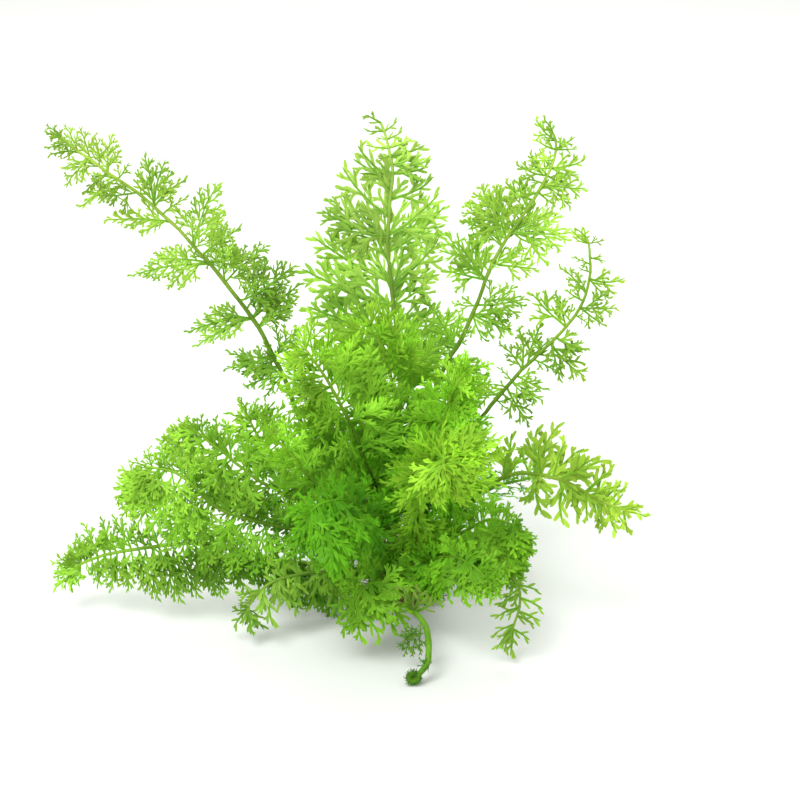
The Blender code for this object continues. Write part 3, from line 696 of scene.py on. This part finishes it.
              (316, 506, 296, 496), (318, 505, 326, 580), (328, 502, 312, 478), (330, 502, 338, 580),
              (340, 500, 330, 468), (342, 500, 350, 570), (350, 503, 346, 466), (352, 505, 362, 562),
              (358, 509, 366, 470), (362, 512, 372, 556), (368, 517, 384, 480), (372, 522, 386, 560),
              (380, 530, 398, 496), (312, 509, 294, 556), (324, 503, 306, 560)),
        stalk=1.2, face=(0.1, -1, 0.4), cut="tufted", more=2.0, greens=("#50A40E", "#6EBA18")),
    # Painted light: the tuft's greens are brightened to make up for the shade that falls on it.
    "frond_front_middle": dict(
        route=picture((414, 530, -26), (424, 485, -48), (432, 458, -64), (442, 458, -74), (450, 490, -82)),
        seen=((424, 485, 386, 500), (425, 482, 444, 508), (428, 470, 380, 482), (429, 468, 404, 452),
              (430, 464, 386, 464), (432, 460, 396, 442), (433, 459, 414, 434), (436, 457, 410, 426),
              (438, 457, 426, 434), (440, 457, 440, 418), (442, 458, 452, 436), (444, 462, 462, 430),
              (445, 464, 476, 440), (446, 467, 468, 456), (447, 470, 490, 454), (448, 474, 480, 468),
              (448, 478, 496, 474), (449, 482, 492, 490), (450, 486, 474, 498), (450, 489, 482, 504),
              (450, 490, 462, 510), (449, 488, 446, 510), (447, 480, 430, 506), (445, 474, 416, 500),
              (440, 470, 404, 492), (427, 475, 392, 512), (422, 492, 400, 524), (426, 480, 456, 498),
              (418, 508, 398, 538), (418, 510, 438, 542), (416, 520, 404, 556), (416, 522, 430, 560),
              (416, 522, 384, 552), (416, 522, 452, 560), (416, 518, 376, 536), (416, 516, 458, 536),
              (414, 528, 398, 580), (414, 528, 434, 582), (447, 470, 504, 440), (448, 474, 508, 456),
              (447, 468, 496, 432), (448, 480, 506, 486)),
        stalk=1.3, face=(0, -1, 0.2), cut="tufted", more=1.2, greens=("#8ED022", "#AEDC3A")),
    "frond_front_low_left": dict(
        route=picture((392, 576, -30), (378, 576, -50), (366, 588, -62), (356, 606, -68), (350, 634, -70)),
        seen=((353, 620, 341, 634, "open"), (352, 622, 362, 644, "open"), (356, 608, 336, 620, "open"),
              (357, 606, 380, 642, "open"), (362, 596, 334, 608, "open"), (364, 592, 396, 634, "open"),
              (368, 586, 344, 594), (370, 584, 406, 630, "open"), (374, 579, 354, 568),
              (376, 577, 406, 612), (380, 576, 366, 614), (382, 576, 388, 544),
              (386, 576, 412, 596), (390, 576, 386, 612), (372, 581, 366, 546), (364, 592, 346, 564),
              (392, 576, 404, 596), (378, 576, 392, 606), (388, 576, 396, 538), (386, 576, 420, 564),
              (384, 576, 430, 588), (388, 576, 372, 526), (390, 576, 412, 548), (392, 576, 430, 574),
              (380, 576, 350, 556), (366, 588, 330, 580)),
        stalk=1.1, face=(0.1, -1, 0.5), cut="feathery", more=2.2, greens=("#5CB01A", "#94CC30")),
    "frond_front_low_right": dict(
        route=picture((427, 564, -32), (446, 556, -54), (466, 562, -68), (484, 576, -76), (494, 598, -80)),
        seen=((432, 562, 424, 588), (438, 560, 436, 594), (446, 557, 444, 600), (452, 557, 456, 604),
              (460, 560, 464, 606), (468, 563, 474, 606), (474, 567, 484, 606), (480, 572, 494, 602),
              (485, 578, 502, 596), (488, 584, 482, 604), (436, 560, 440, 528), (448, 556, 458, 524),
              (460, 558, 474, 528), (470, 562, 490, 536), (478, 568, 500, 550), (486, 578, 508, 566),
              (490, 588, 508, 584), (492, 594, 502, 600), (430, 563, 412, 586), (430, 563, 418, 594),
              (432, 562, 410, 572), (440, 559, 428, 600), (430, 563, 424, 526), (430, 563, 400, 545),
              (432, 562, 404, 558), (434, 561, 418, 606), (428, 563, 400, 588), (436, 560, 428, 606),
              (434, 561, 414, 536), (440, 558, 448, 606), (454, 558, 446, 530)),
        stalk=1.1, face=(-0.1, -1, 0.5), cut="feathery", more=2.6, greens=("#68C01A", "#98D030")),
    "frond_right_inner": dict(
        route=picture((434, 552, -20), (462, 532, -34), (490, 520, -44), (512, 524, -50), (530, 544, -52)),
        seen=((528, 540, 526, 552), (522, 536, 526, 526), (522, 534, 514, 560), (516, 528, 520, 512),
              (514, 527, 508, 574), (506, 522, 508, 500), (504, 522, 498, 582), (496, 520, 494, 490),
              (494, 520, 488, 584), (484, 522, 484, 490), (482, 523, 476, 582), (472, 527, 470, 494),
              (470, 528, 462, 578), (460, 533, 456, 500), (458, 534, 450, 574), (448, 541, 442, 510),
              (446, 543, 438, 576), (516, 530, 516, 580), (510, 524, 508, 586), (442, 546, 428, 516),
              (446, 543, 430, 560), (452, 538, 446, 502), (466, 530, 472, 560), (440, 548, 424, 540),
              (478, 525, 478, 556), (490, 521, 492, 552), (500, 521, 506, 556), (510, 524, 518, 582),
              (500, 521, 512, 592)),
        stalk=1.2, face=(-0.1, -0.9, 0.6), cut="feathery", more=2.6, greens=("#68C01A", "#96D02E")),
    "frond_back_1": dict(
        route=arch(36, 40, -20, 98), bare=0.28, leaflets=12, reach=17, stalk=1.2, face=(-0.4, -0.3, 1),
        spread=62, taper=0.45, cut="fine", more=1.5, greens=("#5CB01A", "#90CC2C")),
    "frond_back_2": dict(
        route=arch(68, 42, -6, 108), bare=0.28, leaflets=12, reach=29, stalk=1.2, face=(-0.2, -0.6, 1),
        spread=62, taper=0.45, cut="fine", more=1.5, greens=("#62B818", "#96D42C")),
    "frond_back_3": dict(
        route=arch(106, 36, -20, 104), bare=0.28, leaflets=12, reach=28, stalk=1.2, face=(0.1, -0.5, 1),
        spread=62, taper=0.45, cut="feathery", more=1.5, greens=("#62B818", "#96D42C")),
    "frond_back_4": dict(
        route=arch(142, 42, -12, 102), bare=0.28, leaflets=12, reach=28, stalk=1.2, face=(0.4, -0.4, 1),
        spread=62, taper=0.45, cut="fine", more=1.5, greens=("#62B818", "#96D42C")),
}


def smooth_route(points, count, short_by=0, fineness=24):
    """Points spread evenly along a curve through the given ones, which may stop short of its end."""
    given = np.array([tuple(point) for point in points])
    padded = np.vstack([2 * given[0] - given[1], given, 2 * given[-1] - given[-2]])
    fine = []
    for i in range(1, len(padded) - 2):
        before, start, end, after = padded[i - 1:i + 3]
        bend = 2 * before - 5 * start + 4 * end - after
        twist = 3 * start - before - 3 * end + after
        for t in np.linspace(0, 1, fineness, endpoint=False):
            fine.append(0.5 * (2 * start + (end - before) * t + bend * t ** 2 + twist * t ** 3))
    fine = np.vstack([fine, given[-1]])
    walked = np.concatenate([[0], np.cumsum(np.linalg.norm(np.diff(fine, axis=0), axis=1))])
    wanted = np.linspace(0, walked[-1] - short_by, count)
    return [Vector(column) for column in zip(*(np.interp(wanted, walked, fine[:, k]) for k in range(3)))]


def from_the_stock(route):
    """The route with a first point that touches the rootstock where the second one leads."""
    outward = (route[0] - STOCK_CENTRE).normalized()
    return [STOCK_CENTRE + outward * (STOCK_RADIUS + 2 * GAP)] + list(route)


def blade_outline(share, taper):
    """How long a leaflet is beside the longest, from the blade's foot at 0 to its tip at 1."""
    return min(1.0, 0.75 + 1.5 * share) * (1 - share) ** taper + 0.04


def blade_frame(plan, points, knot):
    """Which way the stalk runs at one of its points, and the blade's face and right side there."""
    step = len(points) // 6
    ahead = (points[min(knot + step, len(points) - 1)] - points[max(knot - step, 0)]).normalized()
    face = (Vector(plan["face"]) - ahead * ahead.dot(Vector(plan["face"]))).normalized()
    return ahead, face, ahead.cross(face).normalized()


def twisted(plan, ahead, face, tilt):
    """The face of a leaflet: the blade's own, turned a little and then tilted."""
    twist = math.radians(CUTS[plan["cut"]]["twist"])
    return face * math.cos(twist) + ahead * math.sin(twist) - tilt


def hanging(cut, aim, face, hand):
    """The hand that a leaflet bends to: a finely cut one to the ground, any other to the frond's tip."""
    return hand if CUTS[cut]["wide"] > 0.9 else (1 if face.cross(aim).z < 0 else -1)


def grown_leaflets(name, plan, points):
    """Foot, aim, face, reach, hand and cut of each leaflet: left and right in turn up the blade, and between
    them the ones that stand out from the blade's plane."""
    dice, spare = random.Random(name), random.Random(name + " spare")
    count, bare, last = plan["leaflets"], plan["bare"], len(points) - 1
    spread = math.radians(plan["spread"])
    places = []
    for i in range(count):
        share = (i + 0.5) / count
        swerve, lift, length = dice.uniform(-8, 8), dice.uniform(-14, 14), dice.uniform(0.88, 1.1)
        grown = [(share, 1 if i % 2 else -1, swerve, lift, length)]
        for k in range(int(plan["more"]) + (spare.random() < plan["more"] % 1)):
            grown.append((min(0.97, share + spare.uniform(-0.5, 0.5) / count), spare.choice((-1, 1)),
                          spare.uniform(-20, 20), spare.choice((-1, 1, 1)) * spare.uniform(10, 60),
                          spare.uniform(0.65, 1.0)))
        for share, hand, swerve, lift, length in grown:
            along = (bare + (0.97 - bare) * share) * last
            knot = min(int(along), last - 1)
            foot = points[knot].lerp(points[knot + 1], along - knot)
            ahead, face, right = blade_frame(plan, points, knot)
            swing = spread + (SPREAD_AT_TIP - spread) * share + math.radians(swerve)
            rise = math.sin(math.radians(lift))
            aim = (ahead * math.cos(swing) + right * hand * math.sin(swing) + face * rise).normalized()
            reach = plan["reach"] * MM * blade_outline(share, plan["taper"]) * length
            front = twisted(plan, ahead, face, right * hand * rise)
            places.append((foot, aim, front, reach, hand, plan["cut"]))
    return places


def nearest_knot(points, across, down):
    """The number of the stalk's point that lies nearest to a pixel's line of sight."""
    def off(knot):
        ray = (seen_at(across, down, points[knot].y / MM) - VIEW_EYE).normalized()
        return (points[knot] - VIEW_EYE).cross(ray).length
    return min(range(1, len(points) - 1), key=off)


def seen_leaflets(name, plan, points):
    """The same for the leaflets that the photograph shows: each lies in the blade's plane, give or take a
    little, with its foot on the stalk."""
    dice = random.Random(name)
    plane = Vector(plan["face"])
    places = []
    for foot_across, foot_down, tip_across, tip_down, *own in plan["seen"]:
        knot = nearest_knot(points, foot_across, foot_down)
        foot = points[knot]
        ahead, face, right = blade_frame(plan, points, knot)
        ray = seen_at(tip_across, tip_down, foot.y / MM) - VIEW_EYE
        tip = VIEW_EYE + ray * ((foot - VIEW_EYE).dot(plane) / ray.dot(plane))
        hand = 1 if (tip - foot).dot(right) > 0 else -1
        rise = math.sin(math.radians(dice.uniform(-12, 12)))
        aim = ((tip - foot).normalized() + face * rise).normalized()
        reach = (tip - foot).length
        cut = own[0] if own else plan["cut"]
        places.append((foot, aim, twisted(plan, ahead, face, right * hand * rise), reach,
                       hanging(cut, aim, face, hand), cut))
        for k in range(int(plan["more"]) + (dice.random() < plan["more"] % 1)):
            foot = points[max(1, min(len(points) - 2, knot + dice.choice((-1, 1))))]
            rise = math.sin(math.radians(dice.choice((-1, 1, 1)) * dice.uniform(5, 35)))
            swerve = Matrix.Rotation(math.radians(dice.uniform(-30, 30)), 3, face)
            stray = (swerve @ aim + face * rise).normalized()
            places.append((foot, stray, twisted(plan, ahead, face, right * hand * rise),
                           reach * dice.uniform(0.55, 0.85), hand, plan["cut"]))
    return places


def frond_tree():
    """A tree that makes a frond from its plan: a ridged stalk along the plan's line, and on each of its loose
    points a leaflet of the kind, size and direction kept there. The whole frond is then ruffled a little."""
    tree, given = new_tree("frond", {
        "Plan": "Geometry", "Leaflets": "Collection", "Ridges": "Int", "Ruffle": "Float",
        "Ruffle length": "Float", "Seed": "Float", "Table": "Float", "Finish": "Material"})
    thick, size, kind, aim, face = (
        add_node(tree, "GeometryNodeInputNamedAttribute", {"Name": name}, data_type=sort).outputs[0]
        for name, sort in (("thick", "FLOAT"), ("size", "FLOAT"), ("kind", "INT"), ("aim", "FLOAT_VECTOR"),
                           ("face", "FLOAT_VECTOR")))
    on_stalk = add_node(tree, "FunctionNodeCompare", {0: thick, 1: 0.0}, operation="GREATER_THAN")
    parts = add_node(tree, "GeometryNodeSeparateGeometry", {
        "Geometry": given["Plan"], "Selection": on_stalk.outputs[0]})
    line = add_node(tree, "GeometryNodeMeshToCurve", {"Mesh": parts.outputs[0]})
    ridged = add_node(tree, "GeometryNodeCurveStar", {
        "Points": given["Ridges"], "Inner Radius": 0.86, "Outer Radius": 1.0})
    stalk = add_node(tree, "GeometryNodeCurveToMesh", {
        "Curve": line.outputs[0], "Profile Curve": ridged.outputs[0], "Scale": thick, "Fill Caps": True})
    feet = add_node(tree, "GeometryNodeMeshToPoints", {"Mesh": parts.outputs[1]})
    shapes = add_node(tree, "GeometryNodeCollectionInfo", {
        "Collection": given["Leaflets"], "Separate Children": True, "Reset Children": True})
    turned = add_node(tree, "FunctionNodeAxesToRotation", {0: aim, 1: face}, primary_axis="X",
                      secondary_axis="Z")
    blade = add_node(tree, "GeometryNodeInstanceOnPoints", {
        "Points": feet.outputs[0], "Instance": shapes.outputs[0], "Pick Instance": True,
        "Instance Index": kind, "Rotation": turned.outputs[0], "Scale": size})
    joined = add_node(tree, "GeometryNodeJoinGeometry")
    tree.links.new(stalk.outputs[0], joined.inputs[0])
    tree.links.new(blade.outputs[0], joined.inputs[0])
    real = add_node(tree, "GeometryNodeRealizeInstances", {0: joined.outputs[0]})
    where = add_node(tree, "GeometryNodeInputPosition").outputs[0]
    fine = add_node(tree, "ShaderNodeMath", {0: 1.0, 1: given["Ruffle length"]}, operation="DIVIDE")
    wave = add_node(tree, "ShaderNodeTexNoise", {
        "Vector": where, "W": given["Seed"], "Scale": fine.outputs[0], "Detail": 1.5}, noise_dimensions="4D")
    centred = add_node(tree, "ShaderNodeVectorMath", {
        0: wave.outputs[1], 1: (0.5, 0.5, 0.5)}, operation="SUBTRACT")
    push = add_node(tree, "ShaderNodeVectorMath", {
        0: centred.outputs[0], "Scale": given["Ruffle"]}, operation="SCALE")
    moved = add_node(tree, "ShaderNodeVectorMath", {0: where, 1: push.outputs[0]}, operation="ADD")
    end_tree(tree, real.outputs[0], moved.outputs[0], given["Table"], given["Finish"])
    return tree


# Living fern leaf: a thin wet-looking blade that light passes through, so it glows yellow-green where the
# light stands behind it. It is mottled by its cells and clouded over the frond, the ribs are darker, and the
# oldest tips go grey-brown. Real cells are too fine to show, so they are drawn about ten times as coarse.
leaf, nodes = new_finish("fern leaf")
place = add_node(nodes, "ShaderNodeTexCoord").outputs["Object"]
cells, clouds = (add_node(nodes, "ShaderNodeTexNoise", {
    "Vector": place, "Scale": 1 / size, "Detail": detail}).outputs[0]
    for size, detail in ((LEAF_CELL, 3), (LEAF_CLOUD, 2)))
# The green kept at each point is the frond's own colour with painted light in it: brighter greens for the
# fronds inside the plant.
grown = add_node(nodes, "ShaderNodeAttribute", attribute_name="green").outputs["Color"]
rib = add_node(nodes, "ShaderNodeAttribute", attribute_name="rib").outputs["Fac"]
tip = add_node(nodes, "ShaderNodeAttribute", attribute_name="tip").outputs["Fac"]
green = add_node(nodes, "ShaderNodeMix", {
    0: 1.0, 6: grown, 7: linear("#C8D8C0")}, data_type="RGBA", blend_type="MULTIPLY").outputs[2]
for value, low, high, most, tint in (
        (clouds, 0.35, 0.6, 1.0, grown), (cells, 0.4, 0.8, 0.25, linear("#B4DC58")),
        (rib, 0.15, 0.9, 0.75, linear("#3C9416")), (tip, 0.3, 1.0, 0.55, linear("#62782E"))):
    amount = add_node(nodes, "ShaderNodeMapRange", {0: value, 1: low, 2: high, 3: 0.0, 4: most})
    green = add_node(nodes, "ShaderNodeMix", {
        0: amount.outputs[0], 6: green, 7: tint}, data_type="RGBA").outputs[2]
dents = add_node(nodes, "ShaderNodeBump", {"Height": cells, "Distance": 0.08 * MM, "Strength": 0.35})
surface = add_node(nodes, "ShaderNodeBsdfPrincipled", {
    "Base Color": green, "Normal": dents.outputs[0], "Roughness": 0.5, "Specular IOR Level": 0.18,
    "IOR": 1.42})
lit = add_node(nodes, "ShaderNodeMix", {0: 0.4, 6: green, 7: linear("#D2F268")}, data_type="RGBA")
glow = add_node(nodes, "ShaderNodeBsdfTranslucent", {0: lit.outputs[2]})
through = add_node(nodes, "ShaderNodeMixShader", {0: 0.5, 1: surface.outputs[0], 2: glow.outputs[0]})
add_node(nodes, "ShaderNodeOutputMaterial", {"Surface": through.outputs[0]})


def between(low, high, share):
    """The linear colour at a share of the way from one hex colour to another."""
    return [start + (end - start) * share for start, end in zip(linear(low)[:3], linear(high))]


def plan_object(name, points, radii, leaves, stem, greens):
    """The plan of a frond: its stalk as a line and its leaflets as loose points, with what the tree reads."""
    mesh = bpy.data.meshes.new(name + " plan")
    corners = list(points) + [leaflet[0] for leaflet in leaves]
    last = len(points) - 1
    mesh.from_pydata([tuple(corner) for corner in corners], [(i, i + 1) for i in range(last)], [])
    dice = random.Random(name + " leaves")
    kinds, sizes = [0] * len(points), [0.0] * len(points)
    colours = [between(*stem, (i / last) ** 1.8) for i in range(len(points))]
    for foot, aim, face, reach, hand, cut in leaves:
        length = min(LEAFLET_LENGTHS, key=lambda known: abs(math.log(reach / (known * MM))))
        kinds.append(leaflet_kinds.index(leaflet_name(cut, length, hand, dice.randrange(LEAFLET_SHAPES))))
        sizes.append(reach / (length * MM))
        share = min(1, (foot - points[0]).length / (points[-1] - points[0]).length)
        light = dice.uniform(0.8, 1.2)
        colours.append([part * light for part in between(*greens, share)])
    flat = [(0, 0, 0)] * len(points)
    store(mesh, "thick", "FLOAT", list(radii) + [0.0] * len(leaves))
    store(mesh, "kind", "INT", kinds)
    store(mesh, "size", "FLOAT", sizes)
    store(mesh, "green", "FLOAT_VECTOR", colours, "vector")
    store(mesh, "aim", "FLOAT_VECTOR", flat + [tuple(leaflet[1]) for leaflet in leaves], "vector")
    store(mesh, "face", "FLOAT_VECTOR", flat + [tuple(leaflet[2]) for leaflet in leaves], "vector")
    return placed_object(name + " plan", mesh)


frond_maker = frond_tree()
last = STALK_POINTS - 1
for number, (name, plan) in enumerate(FRONDS.items()):
    points = smooth_route(from_the_stock(plan["route"]), STALK_POINTS, TIP_LEAFLET - MM)
    radii = [plan["stalk"] * MM * (1 + (STALK_TIP_SHARE - 1) * i / last) for i in range(STALK_POINTS)]
    leaves = seen_leaflets(name, plan, points) if "seen" in plan else grown_leaflets(name, plan, points)
    ahead, face, right = blade_frame(plan, points, last)
    tip_aim = (plan["route"][-1] - points[-1]).normalized()
    leaves.append((points[-1], tip_aim, face, TIP_LEAFLET, 1, plan["cut"]))
    start = plan_object(name, points, radii, leaves, (STEM_FOOT, plan["greens"][1]), plan["greens"])
    frond = made_by(frond_maker, start, name.replace("frond_", "") + "_frond", Leaflets=leaflets,
                    Ridges=STALK_RIDGES, Ruffle=RUFFLE, Ruffle_length=RUFFLE_LENGTH, Seed=float(number),
                    Table=GAP, Finish=leaf)
    frond.data.set_sharp_from_angle(angle=CREASE)
    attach(frond, "root")
    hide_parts(name)

# Young frond
# A young frond that still hangs in front of the plant. Its fleshy stalk ends in a tight coil ringed with
# rolled leaflets, the way a fern leaf unrolls. One small leaflet beside it has opened, and a few narrow ones
# stand at its bend.

YOUNG_ROUTE = picture((409, 588, -40), (409, 606, -52), (414, 612, -57), (420, 617.5, -62), (426, 627, -69),
                      (428.5, 641, -77), (428.5, 655, -84), (427, 664, -87))
YOUNG_STALK = 1.35 * MM
YOUNG_STALK_POINTS = 40
YOUNG_RIDGES = 6
YOUNG_RUFFLE = 0.6 * MM
YOUNG_SEED = 50.0
COIL_CENTRE = Vector((1.9, -90.2, 3.95)) * MM
COIL_RADIUS = 2.65 * MM
COIL_TURNS = 1.8
COIL_POINTS = 29
COIL_START = 0.5
COIL_SIDESTEP = 1.2 * MM
ROLLED_FROM = 36
ROLLED_LENGTH = 2.6 * MM
TUFT_PLACE = (401.5, 645, -77)
TUFT_LEAFLETS = 12
TUFT_TURN = 2.4
NECK_TUFT_LENGTH = 4.5 * MM

# The stalk's thickness at shares of its length: it thins before its bend and swells again below. The coil is
# past 1.
STALK_SHARES = (0, 0.25, 0.42, 0.55, 0.9, 1, 1.7)
STALK_SWELLS = (1.0, 0.9, 0.6, 1.0, 1.0, 0.95, 0.75)

# Foot and tip of each leaflet in pixels across and down, and the depths of feet and tips in millimetres
OPENED_LEAFLET = (
    (424, 633, 407, 641), (418, 636, 411, 626), (414, 638, 404, 628), (420, 636, 422, 656),
    (416, 638, 413, 658), (411, 640, 400, 634), (410, 641, 404, 658), (410, 641, 401, 645),
    (422, 634, 396, 636), (420, 635, 420, 622))
BEND_LEAFLETS = ((413, 611, 391, 600), (413, 610, 402, 586), (414, 611, 421, 588), (415, 612, 437, 599))
OPENED_DEPTHS = (-75, -77)
BEND_DEPTHS = (-57, -65)


def coil():
    """The rolled tip: a spiral in the upright plane of its stalk, as points."""
    points = []
    for i in range(COIL_POINTS):
        share = i / (COIL_POINTS - 1)
        turn = COIL_START - share * COIL_TURNS * math.tau
        radius = COIL_RADIUS * (1 - 0.8 * share)
        spoke = Vector((math.cos(turn) * radius, COIL_SIDESTEP * share, math.sin(turn) * radius))
        points.append(COIL_CENTRE + spoke)
    return points


points = smooth_route(from_the_stock(YOUNG_ROUTE) + [coil()[0]], YOUNG_STALK_POINTS)[:-1] + coil()
radii = [YOUNG_STALK * float(np.interp(i / YOUNG_STALK_POINTS, STALK_SHARES, STALK_SWELLS))
         for i in range(len(points))]
leaves = []
for group, (foot_depth, tip_depth), cut in (
        (OPENED_LEAFLET, OPENED_DEPTHS, "fine"), (BEND_LEAFLETS, BEND_DEPTHS, "open")):
    for foot_across, foot_down, tip_across, tip_down in group:
        foot, tip = picture((foot_across, foot_down, foot_depth), (tip_across, tip_down, tip_depth))
        leaves.append((foot, (tip - foot).normalized(), Vector((0, -1, 0.3)), (tip - foot).length, 1, cut))
for i in range(ROLLED_FROM, len(points)):
    outward = (points[i] - COIL_CENTRE).normalized()
    across = Vector((0, -1 if i % 2 else 1, 0))
    ahead = (points[min(i + 1, len(points) - 1)] - points[i - 1]).normalized()
    for out, side in ((1, 0.6), (0.4, 1), (0.6, -1)):
        aim = (outward * out + across * side + ahead).normalized()
        leaves.append((points[i], aim, outward + ahead * 0.3, ROLLED_LENGTH, 1, "tufted"))
for middle, reach in ((seen_at(*TUFT_PLACE), ROLLED_LENGTH), (points[ROLLED_FROM], NECK_TUFT_LENGTH)):
    for i in range(TUFT_LEAFLETS):
        aim = Vector((math.cos(i * TUFT_TURN), -0.9 + i / 8, math.sin(i * TUFT_TURN)))
        if reach == ROLLED_LENGTH or aim.x < 0.3:
            leaves.append((middle, aim.normalized(), aim.cross(Vector((0, 1, 1))), reach, 1, "tufted"))
# Painted light: the pale green at the stalk's foot end is the narrow leaflets' own pale yellow-green,
# brightened further to make up for the shade under the plant.
start = plan_object("fiddlehead", points, radii, leaves, ("#7CB038", "#44840F"), ("#E8FF80", "#3C7C10"))
young = made_by(frond_maker, start, "rolled_young_frond", Leaflets=leaflets, Ridges=YOUNG_RIDGES,
                Ruffle=YOUNG_RUFFLE, Ruffle_length=RUFFLE_LENGTH, Seed=YOUNG_SEED, Table=GAP, Finish=leaf)
young.data.set_sharp_from_angle(angle=CREASE)
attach(young, "root")
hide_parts("fiddlehead")

# Table, light and camera
# A plain white table that runs on all round, under soft white studio light from above: the key light from the
# front left, the back light from behind.

TABLE_REACH = 6
TABLE_CLOUD = 120 * MM
STUDIO_BRIGHTNESS = 1.13
LAMP_AIM = Vector((0, 0, 80 * MM))
SENSOR_WIDTH = 36

table = mesh_object("table", [(x * TABLE_REACH, y * TABLE_REACH, 0) for x, y in (
    (-1, -1), (1, -1), (1, 1), (-1, 1))], [(0, 1, 2, 3)])

# Table top: white laminate with a matt face, so its reflections are dim and wide, and it is faintly clouded.
white, nodes = new_finish("matt white table top")
place = add_node(nodes, "ShaderNodeTexCoord").outputs["Object"]
clouds = add_node(nodes, "ShaderNodeTexNoise", {"Vector": place, "Scale": 1 / TABLE_CLOUD, "Detail": 2})
tones = add_node(nodes, "ShaderNodeValToRGB", {0: clouds.outputs[0]})
for stop, colour in zip(tones.color_ramp.elements, ("#C6C9C4", "#CACCC8")):
    stop.color = linear(colour)
top = add_node(nodes, "ShaderNodeBsdfPrincipled", {
    "Base Color": tones.outputs[0], "Roughness": 0.7, "Specular IOR Level": 0.2})
add_node(nodes, "ShaderNodeOutputMaterial", {"Surface": top.outputs[0]})
table.data.materials.append(white)

world = bpy.data.worlds.new("studio")
world.use_nodes = True
world.node_tree.nodes["Background"].inputs[0].default_value = linear("#FFFFFF")
world.node_tree.nodes["Background"].inputs[1].default_value = STUDIO_BRIGHTNESS
bpy.context.scene.world = world

for name, place, size, power in (("key", (-0.5, -0.7, 1.3), 0.8, 23), ("back", (0.05, 1.0, 1.3), 0.9, 16)):
    lamp = bpy.data.lights.new(name, "AREA")
    lamp.size = size
    lamp.energy = power
    holder = placed_object(name, lamp)
    holder.location = place
    holder.rotation_euler = (LAMP_AIM - Vector(place)).to_track_quat("-Z", "Y").to_euler()

bpy.context.scene.view_settings.view_transform = "Standard"
eye = bpy.data.cameras.new("camera")
eye.sensor_width = SENSOR_WIDTH
eye.lens = SENSOR_WIDTH * VIEW_DISTANCE / (PICTURE * PIXEL_SIZE)
camera = placed_object("camera", eye)
camera.location = VIEW_EYE
camera.rotation_euler = (math.pi / 2 - VIEW_TILT, 0, 0)
bpy.context.scene.camera = camera
